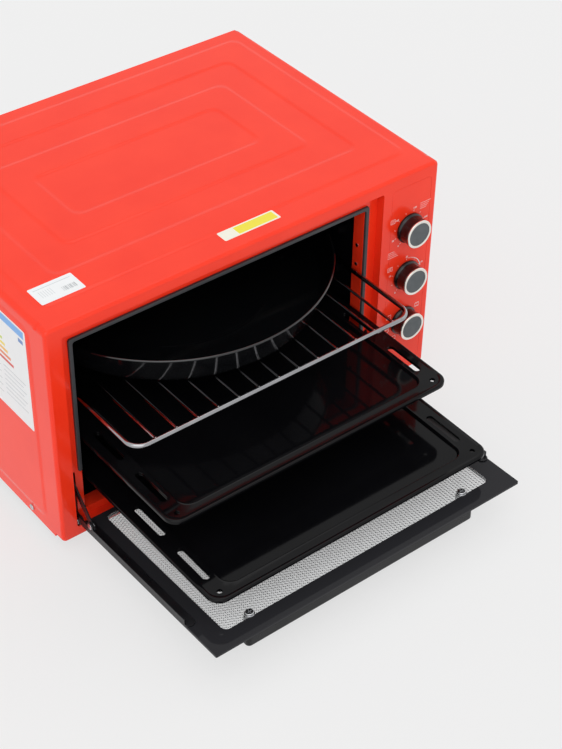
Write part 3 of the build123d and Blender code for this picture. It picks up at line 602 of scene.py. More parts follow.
@dataclass(frozen=True)
class Enamel(Moulded):
    """Stoved enamel: smooth colour, faint orange peel and specks."""

    cloud: Span = (60.0, 3.0)
    patch: Span = (25.0, 4.0)
    wander: Span = (0.8, 1.3)
    grain_detail: float = 1.0
    relief: float = 0.35
    specks: float = 0.0
    speck_pitch: float = 2.2
    speck_lift: float = 0.05

    def hue(self, graph: Graph) -> Socket:
        """Clouded colour with specks in it.

        Args:
            graph: The material's nodes.

        Returns:
            The colour.
        """
        cloud = super().hue(graph)
        if not self.specks:
            return cloud
        distance = graph.cells(self.speck_pitch).outputs["Distance"]
        speck = graph.math("LESS_THAN", distance, self.specks)
        lifted = tuple(part + self.speck_lift for part in srgb(self.shade))
        return graph.blend(speck, cloud, lifted)


@dataclass(frozen=True)
class PrintedGlass:
    """Door glass with a black printed border and staggered dark dots in its clear window; the ink
    is lifted to dark grey as a painted sheen.
    """

    name: str = "printed_door_glass"
    # The ink colour is lifted from black to dark grey: painted sheen that stands in for the glass's
    # own reflection, whose gloss is kept low.
    ink_and_sheen: str = "28282b"
    tint: str = "e3e5e6"
    window_x: Span = (-204.0, 146.0)
    window_reach: Span = (14.0, 223.0)
    corner: float = 7.0
    pitch: Span = (7.4, 3.66)
    dot: float = 0.66
    clear_alpha: float = 0.3
    gloss: float = 0.14

    def material(self) -> Material:
        """Build the glass; its print follows the door's own plane."""
        graph = Graph(self.name)
        x, y, z = graph.axes()
        out = graph.math("SUBTRACT", DOOR_AXIS_Y, y)
        raised = graph.math("SUBTRACT", z, DOOR_AXIS_Z)
        reach = graph.math(
            "ADD", graph.math("MULTIPLY", out, cos(DOOR_RISE)),
            graph.math("MULTIPLY", raised, sin(DOOR_RISE)),
        )
        beyond = []
        for value, (start, end) in ((x, self.window_x), (reach, self.window_reach)):
            straight = (end - start) / 2 - self.corner
            away = graph.math("ABSOLUTE", graph.math("SUBTRACT", value, (start + end) / 2))
            beyond.append(graph.math("MAXIMUM", graph.math("SUBTRACT", away, straight), 0.0))
        window = graph.math("LESS_THAN", graph.math("SQRT", graph.squares(beyond)), self.corner)
        dots = []
        for shift in (0.0, 0.5):
            near = []
            for value, pitch in zip((x, reach), self.pitch):
                shifted = graph.math("ADD", graph.math("DIVIDE", value, pitch), shift)
                phase = graph.math("SUBTRACT", graph.math("FRACT", shifted), 0.5)
                near.append(graph.math("MULTIPLY", phase, pitch))
            dots.append(graph.math("LESS_THAN", graph.squares(near), self.dot ** 2))
        dot = graph.math("MAXIMUM", *dots)
        clear = graph.math("MULTIPLY", window, graph.math("SUBTRACT", 1.0, dot))
        graph.put(
            # Border and dots take the dark grey ink with its painted sheen; the clear window takes
            # the tint.
            Base_Color=graph.blend(clear, srgb(self.ink_and_sheen), srgb(self.tint)),
            Roughness=graph.spread(graph.noise(size=40.0, detail=3.0), low=0.03, high=0.07),
            Alpha=graph.spread(clear, 1.0, self.clear_alpha, start=0.0, end=1.0),
            Specular_IOR_Level=self.gloss,
        )
        graph.bump(graph.noise(size=90.0, detail=1.0), strength=0.1, depth=0.02)
        return graph.material


@dataclass(frozen=True)
class Paper:
    """Paper label: a plain sheet with bands of colour.

    A band has its limits along an axis and along the next one, its colour and the first
    axis's number.
    """

    name: str
    base: str
    bands: tuple[Band, ...] = ()
    cloud: str = "c9c9c2"

    def material(self) -> Material:
        """Build the label."""
        graph = Graph(self.name)
        parts = graph.axes()
        tint = graph.spread(graph.noise(size=9.0, detail=3.0), low=0.0, high=0.06)
        colour = graph.blend(tint, srgb(self.base), srgb(self.cloud))
        for first, second, band, axis in self.bands:
            inside = graph.math(
                "MULTIPLY", graph.between(parts[axis], *first),
                graph.between(parts[axis + 1], *second),
            )
            colour = graph.blend(inside, colour, srgb(band))
        rough = graph.spread(graph.noise(size=5.0, detail=2.0), low=0.32, high=0.45)
        graph.put(Base_Color=colour, Roughness=rough)
        graph.bump(graph.noise(size=0.4, detail=2.0), strength=0.2, depth=0.01)
        return graph.material


def energy_bands() -> tuple[Band, ...]:
    """Coloured bars of a plain classing label, without text."""
    grades = ("5fae74", "8cc06f", "c9d66a", "f0d96a", "f1bd66", "e98b62", "dd5a54")
    bar, line = 3.6, 0.9
    bands = [
        ((39.0, 121.0), (248.0, 257.0), "79aee8", 1), ((41.0, 50.0), (240.0, 245.0), "6f8fc4", 1)
    ]
    for row, colour in enumerate(grades):
        top = 238.0 - row * 6.5
        bands.append(((92.0 - row * 4.5, 118.0), (top - bar, top), colour, 1))
    for row in range(7):
        top = 188.0 - row * 6.0
        bands.append(((44.0 + 5 * (row % 2), 86.0), (top - line, top), "b6bcc0", 1))
    for row in range(5):
        top = 184.0 - row * 9.0
        bands.append(((92.0, 116.0 - 6 * (row % 2)), (top - line, top), "c0c5c8", 1))
    return tuple(bands)


def code_bars() -> tuple[Band, ...]:
    """Faint plain strokes of a stock label, without text."""
    bands = []
    for number in range(9):
        start = -198.0 + number * 1.7
        width = 0.5 + 0.4 * (number % 3)
        bands.append(((start, start + width), (44.0, 51.0), "b4b8ba", 0))
    for number in range(6):
        start = -221.0 + number * 2.6
        bands.append(((start, start + 0.6), (46.0, 57.0), "cfd3d5", 0))
    bands.append(((-224.0, -182.0), (60.5, 61.3), "c9cdcf", 0))
    return tuple(bands)


RED = ("fd3a1e", "f93419")
LOOKS: dict[Slot, Moulded | PrintedGlass | Paper] = {
    Slot.RED: Enamel("red_stoved_enamel", *RED, 0.15, 2.6, 0.008, gloss=0.34),
    Slot.BLACK: Enamel(
        "black_vitreous_enamel", "08080a", "0b0b0d", 0.07, 5.0, gloss=0.16, specks=0.03
    ),
    Slot.COAT: Enamel("black_satin_paint", "101013", "151518", 0.3, 0.8, gloss=0.3),
    Slot.ZINC: Metal("galvanised_sheet", "b3b5b8", "8f9296", 0.38, 1.5, spangle=9.0),
    Slot.CHROME: Metal("bright_chrome", "adadb0", "9b9b9e", 0.09),
    Slot.SCREW: Metal("plated_screw_steel", "cfd0d2", "b4b5b8", 0.22),
    Slot.HEATER: Metal("heat_tinted_tube", "6b6864", "4c4744", 0.4),
    Slot.CERAMIC: Moulded("glazed_ceramic", "e8e4da", "ded8cb", 0.25),
    Slot.GLASS: PrintedGlass(),
    Slot.SEAL: Moulded("silicone_seal", "343539", "3c3d40", 0.5, 0.7),
    Slot.FOOT: Moulded("foot_rubber", "1b1b1d", "222224", 0.7, 0.6),
    Slot.FASCIA: Enamel("red_control_plate", *RED, 0.2, 2.2, 0.01, gloss=0.34),
    Slot.KNOB: Moulded("knob_black_plastic", "0c0c0e", "101012", 0.22, 0.5),
    Slot.RING: Metal("knob_bright_ring", "f3efe8", "e9e4dc", 0.22),
    Slot.CAP: Moulded("knob_grey_cap", "53595c", "4a5053", 0.42, 0.35),
    Slot.PLASTIC: Moulded("cream_thermoset", "d8d2c2", "cdc5b2", 0.45),
    Slot.PAPER: Paper("white_paper_label", "efefed"),
}
LABELS: dict[str, Paper] = {
    "side_label": Paper("side_paper_label", "eceeef", energy_bands()),
    "top_label_front": Paper(
        "front_paper_label", "f2efdf", (((-5.0, 44.5), (19.3, 31.7), "f0e03c", 0),)
    ),
    "top_label_left": Paper("left_paper_label", "f1f3f4", code_bars()),
}
PAN_ENAMEL = Enamel(
    "pan_vitreous_enamel", "090a0c", "0c0d0f", 0.09, 5.0, gloss=0.75, specks=0.03
)


class Finishes:
    """All materials of the oven, made once."""

    def __init__(self) -> None:
        """Build every finish."""
        self.by_slot = {slot: look.material() for slot, look in LOOKS.items()}
        self.by_label = {node: look.material() for node, look in LABELS.items()}
        self.pan = PAN_ENAMEL.material()


class Model:
    """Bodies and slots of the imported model, and the pieces that are handed over to it."""

    def __init__(self, finishes: Finishes) -> None:
        """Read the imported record.

        Args:
            finishes: The oven's materials.
        """
        record = frame["record"]
        self.finishes = finishes
        self.slot_of = {row["node"]: Slot(row["material_slot"]) for row in record["subparts"]}
        self.body_of = {
            node: body for body, nodes in record["behaviour"]["bodies"].items() for node in nodes
        }

    def dress(self) -> None:
        """Give every CAD node its slot's finish, and each sticker its own."""
        for name, node in frame["nodes"].items():
            node.data.materials.clear()
            node.data.materials.append(self.finishes.by_slot[self.slot_of[name]])
        for name, finish in self.finishes.by_label.items():
            frame["nodes"][name].data.materials[0] = finish

    def hand_over(
        self, piece: Piece, body: str, kind: Slot, nodes: Sequence[str] = (),
        finish: Material | None = None,
    ) -> None:
        """Give a piece its finish and its body, and hide the CAD nodes that it stands for.

        Args:
            piece: The finished object.
            body: Name of the body that it rides on.
            kind: The record's slot.
            nodes: CAD nodes that it replaces.
            finish: Its material, where that isn't the slot's own.
        """
        piece.data.materials.clear()
        piece.data.materials.append(finish or self.finishes.by_slot[kind])
        for face in piece.data.polygons:
            face.material_index = 0
        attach(piece, body)
        if nodes:
            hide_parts(*nodes)
        log.info("%s rides on %s, %d faces", piece.name, body, len(piece.data.polygons))

    def refine(self, name: str, width: float) -> None:
        """Replace a CAD node by a merged copy with softened edges.

        Args:
            name: The node.
            width: Bevel width in millimetres, or 0 for none.
        """
        source = frame["nodes"][name]
        piece = bpy.data.objects.new(f"{name}_finished", source.data.copy())
        bpy.context.scene.collection.objects.link(piece)
        edit(piece, "VERT", "SELECT")
        bpy.ops.mesh.remove_doubles(threshold=0.004 * MM)
        bpy.ops.mesh.dissolve_limited(angle_limit=radians(0.6))
        close()
        soften(piece, width, 3 if width >= WIDE_BEVEL else 2)
        self.hand_over(piece, self.body_of[name], self.slot_of[name], [name])


@dataclass
class Shell:
    """Outer shell: top and both sides, with soft pressed bands and vents."""

    width: float = 500.0
    front: float = 15.0
    back: float = 360.8
    height: float = 280.0
    sheet: float = 1.2
    corner: float = 6.0
    lift: float = 0.8
    slope: float = 6.0
    slope_edge: float = 0.5
    rises: tuple[float, ...] = (0.12, 0.38, 0.38, 0.12)
    band_inset: float = 19.5
    band_step: float = 37.0
    band_corner: float = 12.0
    side_inset: float = 12.5
    flange: float = 10.0
    vents: int = 8
    vent_pitch: float = 11.0
    vent_middle: float = 75.0
    vent_height: float = 60.0
    vent_size: Point = (4.0, 34.0, 9.0)

    def press(self, inset: float, lifts: Sequence[Span]) -> None:
        """Press nested square-cornered bands into the selected face.

        Args:
            inset: Distance from the face's edge to the first slope.
            lifts: For each slope, the flat distance before it and its lift.
        """
        inset_by(inset)
        for gap, lift in lifts:
            if gap:
                inset_by(gap)
            inset_by(self.slope_edge)
            inset_steps((self.slope / len(self.rises), lift * rise) for rise in self.rises)
            inset_by(self.slope_edge)

    def press_bands(self, piece: Piece) -> None:
        """Press the top's rings and the sides' panels, and round their corners.

        Args:
            piece: The shell in edit mode.
        """
        half, top = self.width / 2, self.height
        first = self.band_inset - self.slope / 2 - self.slope_edge
        flat = self.band_step - self.slope - 2 * self.slope_edge
        rings = ((0, self.lift), (flat, -self.lift), (flat, self.lift), (flat, -self.lift))
        pick(piece, "faces", lambda face: face.normal.z > FACING)
        self.press(first, rings)
        for way in (-1, 1):
            pick(piece, "faces", lambda face: face.normal.x * way > FACING)
            self.press(self.side_inset, rings[:1])
        inside = (half - 1.0) * MM
        low, high = at(0, 0, 1.0).z, at(0, 0, top - 2.0).z
        round_mitres(
            piece, self.band_corner, (0, 1),
            lambda edge: all(v.co.z > high and abs(v.co.x) < inside for v in edge.verts),
        )
        round_mitres(
            piece, self.band_corner, (1, 2),
            lambda edge: all(low < v.co.z < high and abs(v.co.x) > inside for v in edge.verts),
        )

    def upper_side(self, edge: Edge) -> bool:
        """Find the two edges that run back between the top and the sides.

        Args:
            edge: An edge of the shell.

        Returns:
            Whether it is one of them.
        """
        side, top = self.width / 2 * MM, at(0, 0, self.height).z
        first, last = edge.verts
        return abs(first.co.x - last.co.x) < SAME and all(
            abs(abs(v.co.x) - side) < SAME and abs(v.co.z - top) < SAME for v in edge.verts
        )

    def build(self, model: Model) -> None:
        """Build, dress and hand over the shell.

        Args:
            model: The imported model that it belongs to.
        """
        half = self.width / 2
        floor = at(0, 0, self.flange + 4.0).z
        piece = block(
            "shell_pressed", at(-half, self.front, 0), at(half, self.back, self.height)
        )
        edit(piece)
        drop_faces(piece, lambda face: face.normal.z < -FACING or face.normal.y < -FACING)
        pick(piece, "faces", lambda face: face.normal.y > FACING)
        inset_by(self.flange)
        bpy.ops.mesh.delete(type="FACE")
        drop_faces(
            piece, lambda face: face.normal.y > FACING and face.calc_center_median().z < floor
        )
        self.press_bands(piece)
        pick(piece, "edges", self.upper_side)
        bpy.ops.mesh.select_mode(type="EDGE")
        bpy.ops.mesh.bevel(offset=self.corner * MM, segments=6, affect="EDGES")
        close()
        thicken(piece, self.sheet)
        first_vent = self.front + self.vent_middle - (self.vents - 1) / 2 * self.vent_pitch
        cutters = [
            slot_cutter(
                at(half, first_vent + number * self.vent_pitch, height), self.vent_size, UP, ACROSS
            )
            for number in range(self.vents)
            for height in (self.vent_height, self.height - self.vent_height)
        ]
        cut(piece, join("vent_cutters", cutters))
        soften(piece)
        model.hand_over(piece, Body.CASING.value, Slot.RED, ["outer_shell"])


@dataclass
class Tray:
    """Enamelled tray: curled edge, wide flange with grip slots, soft-edged basin."""

    node: str
    body: Body
    front: float
    level: float
    sheet: float = 0.9
    corner: float = 15.0
    side: float = 24.0
    end: float = 14.0
    curl_drop: float = 4.0
    curl_wall: float = 2.6
    shoulder: float = 1.5
    slot_places: Span = (58.0, 133.0)
    slot_edge: float = 15.0
    slot_size: Point = (8.0, 50.0, 8.0)
    hole: Span = (14.0, 13.0)
    hole_radius: float = 3.0
    edge: float = 0.22

    def curl(self) -> list[Span]:
        """Insets and rises over the rolled edge, in millimetres."""
        return [(0.2, 0.7), (0.5, 0.5), (0.8, 0.2), (1.6, -0.05), (0.8, -0.25), (0.9, -0.1)]

    def steps(self) -> list[Span]:
        """Insets and drops from the flange's shoulder to the basin's floor, in millimetres."""
        lip = [(0.9, 0.35), (0.5, -0.1), (0.6, -0.5), (0.5, -0.9)]
        wall = [(0.75, -3.5)] * 4
        floor = [(0.9, -1.4), (1.2, -0.8), (1.4, -0.3), (1.0, 0.0)]
        return lip + wall + floor

    def press(self, piece: Piece, middle: Vector) -> None:
        """Press the curled edge, the flange and the basin from a flat sheet.

        Args:
            piece: The sheet.
            middle: Its centre at the flange's level.
        """
        edit(piece, "FACE", "SELECT")
        rise = Vector((0, 0, self.curl_wall * MM))
        bpy.ops.mesh.extrude_region_move(TRANSFORM_OT_translate={"value": rise})
        inset_steps(self.curl())
        spent = sum(step[0] for step in self.curl())
        inset_by(self.end - spent - self.shoulder)
        flat = SHEET_WIDTH - 2 * (self.end - self.shoulder)
        room = 2 * (self.side - self.end) / flat
        bpy.ops.transform.resize(value=(1 - room, 1, 1), center_override=middle)
        inset_steps(self.steps())
        round_mitres(piece, self.corner, (0, 1), segments=10)
        close()
        thicken(piece, self.sheet)

    def build(self, model: Model) -> None:
        """Build, dress and hand over the tray.

        Args:
            model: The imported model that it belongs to.
        """
        half, top = SHEET_WIDTH / 2, self.level
        centre_y = self.front + SHEET_LENGTH / 2
        deselect()
        bpy.ops.mesh.primitive_plane_add(
            size=1, location=at(SHEET_X, centre_y, top - self.curl_drop)
        )
        piece = named(bpy.context.object, f"{self.node}_pressed")
        piece.scale = (SHEET_WIDTH * MM, SHEET_LENGTH * MM, 1)
        settle(piece)
        self.press(piece, at(SHEET_X, centre_y, top))
        cutters = []
        for way in (-1, 1):
            slot_x = SHEET_X + way * (half - self.slot_edge)
            for place in self.slot_places:
                centre = at(slot_x, self.front + place, top)
                cutters.append(slot_cutter(centre, self.slot_size, BACK, UP))
        profile = ((self.hole_radius, -4), (self.hole_radius, 4))
        for way in (-1, 1):
            centre = at(SHEET_X + way * (half - self.hole[0]), self.front + self.hole[1], top)
            cutters.append(turned("hole", centre, UP, profile, 24))
        cut(piece, join("tray_cutters", cutters))
        soften(piece, self.edge, angle=60.0)
        model.hand_over(piece, self.body.value, Slot.BLACK, [self.node])


@dataclass
class Pan:
    """Round pan: flat base with a ring step, sloping wall and a rolled rim."""

    x: float = -25.5
    y: float = 123.0
    base: float = 166.7
    rim_radius: float = 180.0
    base_radius: float = 168.0
    height: float = 36.0
    sheet: float = 1.0
    bead: float = 1.4
    sides: int = 160
    ring_steps: tuple[Span, ...] = ((40.0, 0.0), (0.8, -0.4), (3.0, 0.0), (0.8, 0.4))

    def profile(self) -> list[Span]:
        """Radii and heights from the base's round edge up to the rim, in millimetres."""
        low, grow = self.base_radius, (self.rim_radius - self.base_radius) / self.height
        edge = ((-14.0, 0.0), (-5.0, 0.0), (-2.2, 0.35), (-0.4, 1.6), (1.0, 3.6))
        points = [(low + reach, height) for reach, height in edge]
        for share in (0.25, 0.5, 0.75):
            height = share * self.height
            points.append((low + grow * height, height))
        rim = self.rim_radius
        return points + [(rim - 0.6, self.height - 1.2), (rim, self.height)]

    def build(self, model: Model) -> None:
        """Build, dress and hand over the pan.

        Args:
            model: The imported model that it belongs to.
        """
        centre = at(self.x, self.y, self.base)
        piece = turned("round_pan_drawn", centre, UP, self.profile(), self.sides)
        top = centre.z + (self.height - 0.01) * MM
        edit(piece)
        drop_faces(
            piece, lambda face: len(face.verts) > 4 and face.calc_center_median().z > top
        )
        pick(piece, "faces", lambda face: len(face.verts) > 4)
        inset_steps(self.ring_steps)
        close()
        thicken(piece, self.sheet)
        deselect()
        bpy.ops.mesh.primitive_torus_add(
            location=at(self.x, self.y, self.base + self.height),
            major_radius=self.rim_radius * MM, minor_radius=self.bead * MM,
            major_segments=self.sides, minor_segments=12,
        )
        bead = bpy.context.object
        settle(bead)
        piece = join("round_pan_drawn", [piece, bead])
        soften(piece)
        model.hand_over(piece, Body.RACK.value, Slot.BLACK, ["round_pan"], model.finishes.pan)


@dataclass
class Rack:
    """Weld blobs where the rods meet the wire rack's rim."""

    front: float = -80.0
    level: float = 164.1
    wire: float = 2.5
    rods: int = 13
    weld: Point = (2.3, 2.6, 1.6)
    weld_rise: float = 0.9
    weld_in: float = 1.6
    unevenness: float = 0.12

    def blob(self, place: Vector, seed: int) -> Piece:
        """Slightly uneven flattened ball.

        Args:
            place: Its centre.
            seed: What its unevenness is drawn from.

        Returns:
            The ball.
        """
        deselect()
        bpy.ops.mesh.primitive_uv_sphere_add(segments=16, ring_count=10, radius=1, location=place)
        blob = bpy.context.object
        blob.scale = Vector(self.weld) * MM
        settle(blob)
        edit(blob, "VERT", "SELECT")
        bpy.ops.transform.vertex_random(offset=self.unevenness * MM, seed=seed)
        close()
        return blob

    def build(self, model: Model) -> None:
        """Build, dress and hand over the welds.

        Args:
            model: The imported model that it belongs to.
        """
        half = SHEET_WIDTH / 2 - self.wire
        step = 2 * half / (self.rods + 1)
        inward = self.wire * self.weld_in
        ends = (self.front + inward, self.front + SHEET_LENGTH - inward)
        blobs = []
        for number in range(1, self.rods + 1):
            for y in ends:
                place = at(SHEET_X - half + number * step, y, self.level + self.weld_rise)
                blobs.append(self.blob(place, number))
        piece = join("rack_welds", blobs)
        soften(piece)
        model.hand_over(piece, Body.RACK.value, Slot.CHROME)


@dataclass
class Knobs:
    """Three control knobs: skirt, waisted grip, bright ring and sunk cap."""

    radius: float = 17.0
    skirt: float = 18.0
    out: float = 18.0
    ring_width: float = 3.2

    def build(self, model: Model) -> None:
        """Build, dress and hand over each knob's three pieces.

        Args:
            model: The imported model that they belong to.
        """
        wide, out = self.radius, self.out
        inner = wide - self.ring_width
        grip = (
            (self.skirt - 0.5, 0.5), (self.skirt, 0.9), (self.skirt, 2.7),
            (self.skirt - 0.4, 3.3), (wide - 0.3, 3.9), (wide - 0.7, 5.0), (wide - 0.9, 8.0),
            (wide - 0.7, 11.5), (wide - 0.2, 14.6), (wide - 0.1, 15.6), (wide - 0.5, 16.0),
            (inner, 16.0),
        )
        ring = (
            (wide - 0.3, 16.0), (wide, 16.3), (wide, out - 0.7), (wide - 0.25, out - 0.25),
            (wide - 0.8, out), (inner + 0.7, out), (inner + 0.2, out - 0.3), (inner, out - 0.9),
            (inner, 16.2),
        )
        cap = (
            (inner - 0.05, 16.2), (inner - 0.05, 17.2), (inner - 0.4, 17.5),
            (inner - 4.0, 17.42), (2.0, 17.3),
        )
        for name, height in KNOB_HEIGHTS.items():
            body = f"{name}_dial"
            for profile, ending, slot, node in (
                (grip, "grip", Slot.KNOB, "knob"), (ring, "bright_ring", Slot.RING, "knob_ring"),
                (cap, "sunk_cap", Slot.CAP, "knob_cap"),
            ):
                centre = at(KNOB_X, 0, height)
                piece = turned(f"{name}_{ending}", centre, FORWARD, profile)
                soften(piece)
                model.hand_over(piece, body, slot, [f"{name}_{node}"])


@dataclass
class DialPrint:
    """White print on the control plate: scale ticks, numbers and plain signs round the knobs."""

    front: float = -0.02
    thick: float = 0.05
    scale_ends: Span = (235.0, -55.0)
    tick_reach: float = 20.6
    tick_size: Span = (1.8, 0.35)
    number_reach: Span = (24.6, 24.0)
    number_size: float = 3.2
    sign_size: Span = (6.4, 5.2)
    sign_reach: float = 24.4
    frame_line: float = 0.3
    line: float = 0.35
    thermostat: tuple[str, ...] = ("0", "50", "", "100", "", "150", "", "200", "", "250")
    timer: tuple[str, ...] = ("0", "", "15", "", "30", "", "60", "", "90")
    modes: tuple[tuple[float, tuple[float, ...]], ...] = (
        (150.0, ()), (195.0, (1.6,)), (240.0, (-1.6,)), (30.0, (1.6, -1.6)), (-15.0, (0.0,)),
    )

    def tick(self, x: float, z: float, angle: float, length: float, width: float) -> Piece:
        """Thin bar on the plate.

        Args:
            x: Its centre across, in millimetres.
            z: Its centre's height.
            angle: Its turn from level, in degrees.
            length: Its length.
            width: Its width.

        Returns:
            The bar.
        """
        low = Vector((-length / 2, -self.thick, -width / 2)) * MM
        bar = block("tick", low, -low)
        turn = Matrix.Rotation(radians(-angle), 4, "Y")
        bar.matrix_world = Matrix.Translation(at(x, self.front, z)) @ turn
        settle(bar)
        return bar

    def word(self, text: str, x: float, z: float) -> Piece:
        """Number made a flat mesh on the plate.

        Args:
            text: The number.
            x: Its centre across, in millimetres.
            z: Its centre's height.

        Returns:
            The number's mesh.
        """
        deselect()
        bpy.ops.object.text_add()
        piece = bpy.context.object
        piece.data.body = text
        piece.data.size = self.number_size * MM
        piece.data.extrude = self.thick * MM
        piece.data.align_x = "CENTER"
        piece.data.align_y = "CENTER"
        bpy.ops.object.convert(target="MESH")
        piece = bpy.context.object
        turn = Matrix.Rotation(radians(90), 4, "X")
        piece.matrix_world = Matrix.Translation(at(x, self.front, z)) @ turn
        settle(piece)
        return piece

    def spot(self, height: float, angle: float, across: float, up: float) -> Span:
        """Place round a knob, from an angle in degrees and the reach each way."""
        return KNOB_X + across * cos(radians(angle)), height + up * sin(radians(angle))

    def scale(self, height: float, numbers: Sequence[str]) -> list[Piece]:
        """Ticks and numbers along an arc, turning left from its first end.

        Args:
            height: The knob's height.
            numbers: What stands at the marks.

        Returns:
            The marks' objects.
        """
        marks = []
        start, end = self.scale_ends
        for place, number in enumerate(numbers):
            angle = start + (end - start) * place / (len(numbers) - 1)
            x, z = self.spot(height, angle, self.tick_reach, self.tick_reach)
            marks.append(self.tick(x, z, angle, *self.tick_size))
            if number:
                marks.append(self.word(number, *self.spot(height, angle, *self.number_reach)))
        return marks

    def sign(
        self, x: float, z: float, offsets: Sequence[float], length: float = 4.4
    ) -> list[Piece]:
        """Small framed sign with level lines inside.

        Args:
            x: Its centre across, in millimetres.
            z: Its centre's height.
            offsets: Heights of the lines above its centre.
            length: The lines' length.

        Returns:
            The sign's bars.
        """
        wide, high = self.sign_size
        marks = []
        for way in (-1, 1):
            marks.append(self.tick(x, z + way * high / 2, 0.0, wide, self.frame_line))
        for way in (-1, 1):
            marks.append(self.tick(x + way * wide / 2, z, 90.0, high, self.frame_line))
        for offset in offsets:
            marks.append(self.tick(x, z + offset, 0.0, length, self.line))
        return marks

    def fans(self) -> list[Piece]:
        """Plain stacked bars over and under the top knob, longer or shorter by the row."""
        marks = []
        fall, change = 2.4, 2.0
        for row in range(4):
            for side, top, length, way in ((22.0, 233.5, 15.0, -1), (-24.0, 183.5, 9.0, 1)):
                x = KNOB_X + side + way * row
                length += way * change * row
                marks.append(self.tick(x, top - fall * row, 0.0, length, self.frame_line))
        return marks

    def arc(self) -> list[Piece]:
        """Arc of ticks round the middle knob that grow wider as they go down."""
        marks = []
        reach, start, step = 21.5, 84.0, 5.0
        for number in range(15):
            angle = start - number * step
            x, z = self.spot(KNOB_HEIGHTS["timer"], angle, reach, reach)
            marks.append(self.tick(x, z, angle - 90.0, 2.0, 0.25 + 0.06 * number))
        return marks

    def build(self, model: Model) -> None:
        """Build, dress and hand over the print.

        Args:
            model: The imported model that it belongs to.
        """
        marks = self.scale(KNOB_HEIGHTS["thermostat"], self.thermostat)
        marks += self.scale(KNOB_HEIGHTS["timer"], self.timer)
        for angle, offsets in self.modes:
            place = self.spot(KNOB_HEIGHTS["selector"], angle, self.sign_reach, self.sign_reach)
            marks += self.sign(*place, offsets)
        marks += self.fans() + self.arc()
        for name in ("thermostat", "timer"):
            marks += self.sign(KNOB_X - 24.0, KNOB_HEIGHTS[name] + 16.5, (0.9, -0.9), 4.0)
        piece = join("dial_print", marks)
        edit(piece, "VERT", "SELECT")
        bpy.ops.mesh.remove_doubles(threshold=0.001 * MM)
        close()
        model.hand_over(piece, Body.CASING.value, Slot.PAPER)


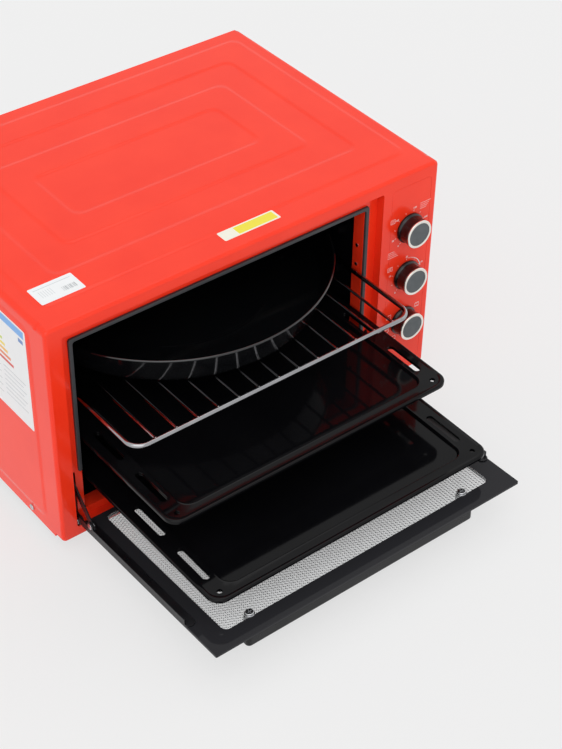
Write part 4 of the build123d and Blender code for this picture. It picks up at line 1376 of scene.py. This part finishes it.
@dataclass
class Studio:
    """Floor, lamps, world and the photograph's camera."""

    width: float = 562.0
    height: float = 749.0
    focal: float = 1722.9
    centre: Span = (286.5, 381.0)
    azimuth: float = -38.953
    elevation: float = 40.11
    roll: float = 1.194
    distance: float = 1771.57
    target: Point = (-13.07, -71.0, 150.0)
    sensor: float = 36.0
    ambient: float = 0.76
    backdrop: float = 0.75
    pale: str = "efefef"
    lamps: tuple[tuple[str, Point, float, float], ...] = (
        ("key_light", (-0.7, -0.8, 1.9), 0.56, 50.0),
        ("fill_light", (-1.5, -1.3, 0.9), 0.42, 70.0),
        ("right_light", (1.6, -0.2, 0.6), 0.2, 60.0),
        ("high_light", (0.3, 0.37, 0.88), 0.12, 25.0),
    )

    def camera(self) -> None:
        """Place the photograph's camera."""
        azimuth, elevation, roll = (radians(v) for v in (self.azimuth, self.elevation, self.roll))
        back = Vector((
            sin(azimuth) * cos(elevation), -cos(azimuth) * cos(elevation), sin(elevation)
        ))
        right = (-back).cross(UP).normalized()
        up = right.cross(-back)
        side = right * cos(roll) + up * sin(roll)
        top = -right * sin(roll) + up * cos(roll)
        data = bpy.data.cameras.new("photo_camera")
        camera = bpy.data.objects.new("photo_camera", data)
        bpy.context.scene.collection.objects.link(camera)
        turn = Matrix((side, top, back)).transposed().to_4x4()
        place = at(*self.target) + back * self.distance * MM
        camera.matrix_world = Matrix.Translation(place) @ turn
        data.sensor_width = self.sensor
        data.lens = self.focal / self.height * self.sensor
        data.shift_x = (self.width / 2 - self.centre[0]) / self.height
        data.shift_y = (self.centre[1] - self.height / 2) / self.height
        data.clip_start = 0.05
        data.clip_end = 50.0
        bpy.context.scene.camera = camera

    def lamp(self, name: str, toward: Point, strength: float, spread: float) -> None:
        """Wide soft lamp, far enough to light the floor evenly.

        Args:
            name: The lamp's name.
            toward: Direction in which it stands.
            strength: Its strength in watts per square metre.
            spread: Its width as an angle in degrees, which sets how soft the shadows are.
        """
        data = bpy.data.lights.new(name, "SUN")
        data.energy = strength
        data.angle = radians(spread)
        lamp = bpy.data.objects.new(name, data)
        bpy.context.scene.collection.objects.link(lamp)
        lamp.location = Vector(toward)
        lamp.rotation_euler = Vector(toward).to_track_quat("Z", "Y").to_euler()

    def seen(self, tree: bpy.types.NodeTree) -> Socket:
        """Tell the rays that see the background from those that give light.

        Args:
            tree: The nodes that it is added to.

        Returns:
            One for rays from the camera, metal and glass, and zero for the rest.
        """
        path = tree.nodes.new("ShaderNodeLightPath")
        seen = path.outputs["Is Camera Ray"]
        for ray in ("Is Glossy Ray", "Is Transmission Ray"):
            larger = tree.nodes.new("ShaderNodeMath")
            larger.operation = "MAXIMUM"
            tree.links.new(seen, larger.inputs[0])
            tree.links.new(path.outputs[ray], larger.inputs[1])
            seen = larger.outputs[0]
        return seen

    def world(self) -> None:
        """Soft world light, and the pale background that camera, metal and glass see."""
        world = bpy.data.worlds.new("studio_world")
        bpy.context.scene.world = world
        world.use_nodes = True
        tree = world.node_tree
        background = tree.nodes["Background"]
        mix = tree.nodes.new("ShaderNodeMix")
        mix.data_type = "RGBA"
        mix.inputs[6].default_value = (*(self.ambient,) * 3, 1)
        mix.inputs[7].default_value = (*srgb(self.pale), 1)
        tree.links.new(self.seen(tree), mix.inputs["Factor"])
        tree.links.new(mix.outputs[2], background.inputs["Color"])
        background.inputs["Strength"].default_value = 1.0

    def floor(self) -> None:
        """Plain pale floor."""
        deselect()
        bpy.ops.mesh.primitive_plane_add(size=12.0)
        floor = named(bpy.context.object, "studio_floor")
        graph = Graph("studio_floor")
        graph.put(Base_Color=srgb(self.pale), Roughness=0.9, Specular_IOR_Level=0.1)
        glow = graph.add("ShaderNodeEmission", {"Color": (*srgb(self.pale), 1.0)})
        shown = graph.math("MULTIPLY", self.seen(graph.tree), self.backdrop)
        inputs = {0: shown, 1: graph.shader.outputs[0], 2: glow.outputs[0]}
        mix = graph.add("ShaderNodeMixShader", inputs)
        graph.feed(graph.output.inputs["Surface"], mix.outputs[0])
        floor.data.materials.append(graph.material)

    def build(self) -> None:
        """Set up the whole studio."""
        self.camera()
        self.world()
        self.floor()
        for lamp in self.lamps:
            self.lamp(*lamp)
        bpy.context.scene.view_settings.view_transform = "Standard"


WIDE_BEVEL = 0.5
REFINED: dict[str, float] = {
    "front_frame": 0.45, "control_fascia": 0.15, "door_gasket": 0.3, "door_glass": 0.0,
    "door_handle": 0.6, "handle_posts": 0.4, "handle_washers": 0.15, "handle_screws": 0.2,
    "door_strap_left": 0.25, "door_strap_right": 0.25, "stay_arm_left": 0.25,
    "stay_arm_right": 0.25, "hinge_ear_left": 0.2, "hinge_ear_right": 0.2, "arm_pins": 0.2,
    "hinge_pins": 0.2, "feet": 0.8, "back_panel": 0.25, "cord_gland": 0.5, "back_screws": 0.25,
    "side_screws": 0.25, "wire_rack": 0.0, "cavity_left_wall": 0.0, "cavity_right_wall": 0.0,
    "upper_heater": 0.0, "lower_heater": 0.0,
}


def main() -> None:
    """Build the oven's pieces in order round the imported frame."""
    logging.basicConfig(level=logging.INFO, format="%(name)s: %(message)s", stream=sys.stdout)
    deselect()
    Studio().build()
    model = Model(Finishes())
    model.dress()
    for name, width in REFINED.items():
        model.refine(name, width)
    Shell().build(model)
    Tray("lower_tray", Body.LOWER_TRAY, -211.0, 61.6).build(model)
    Tray("upper_tray", Body.UPPER_TRAY, -142.0, 113.6).build(model)
    Pan().build(model)
    Rack().build(model)
    Knobs().build(model)
    DialPrint().build(model)
    deselect()


if __name__ == "__main__":
    main()
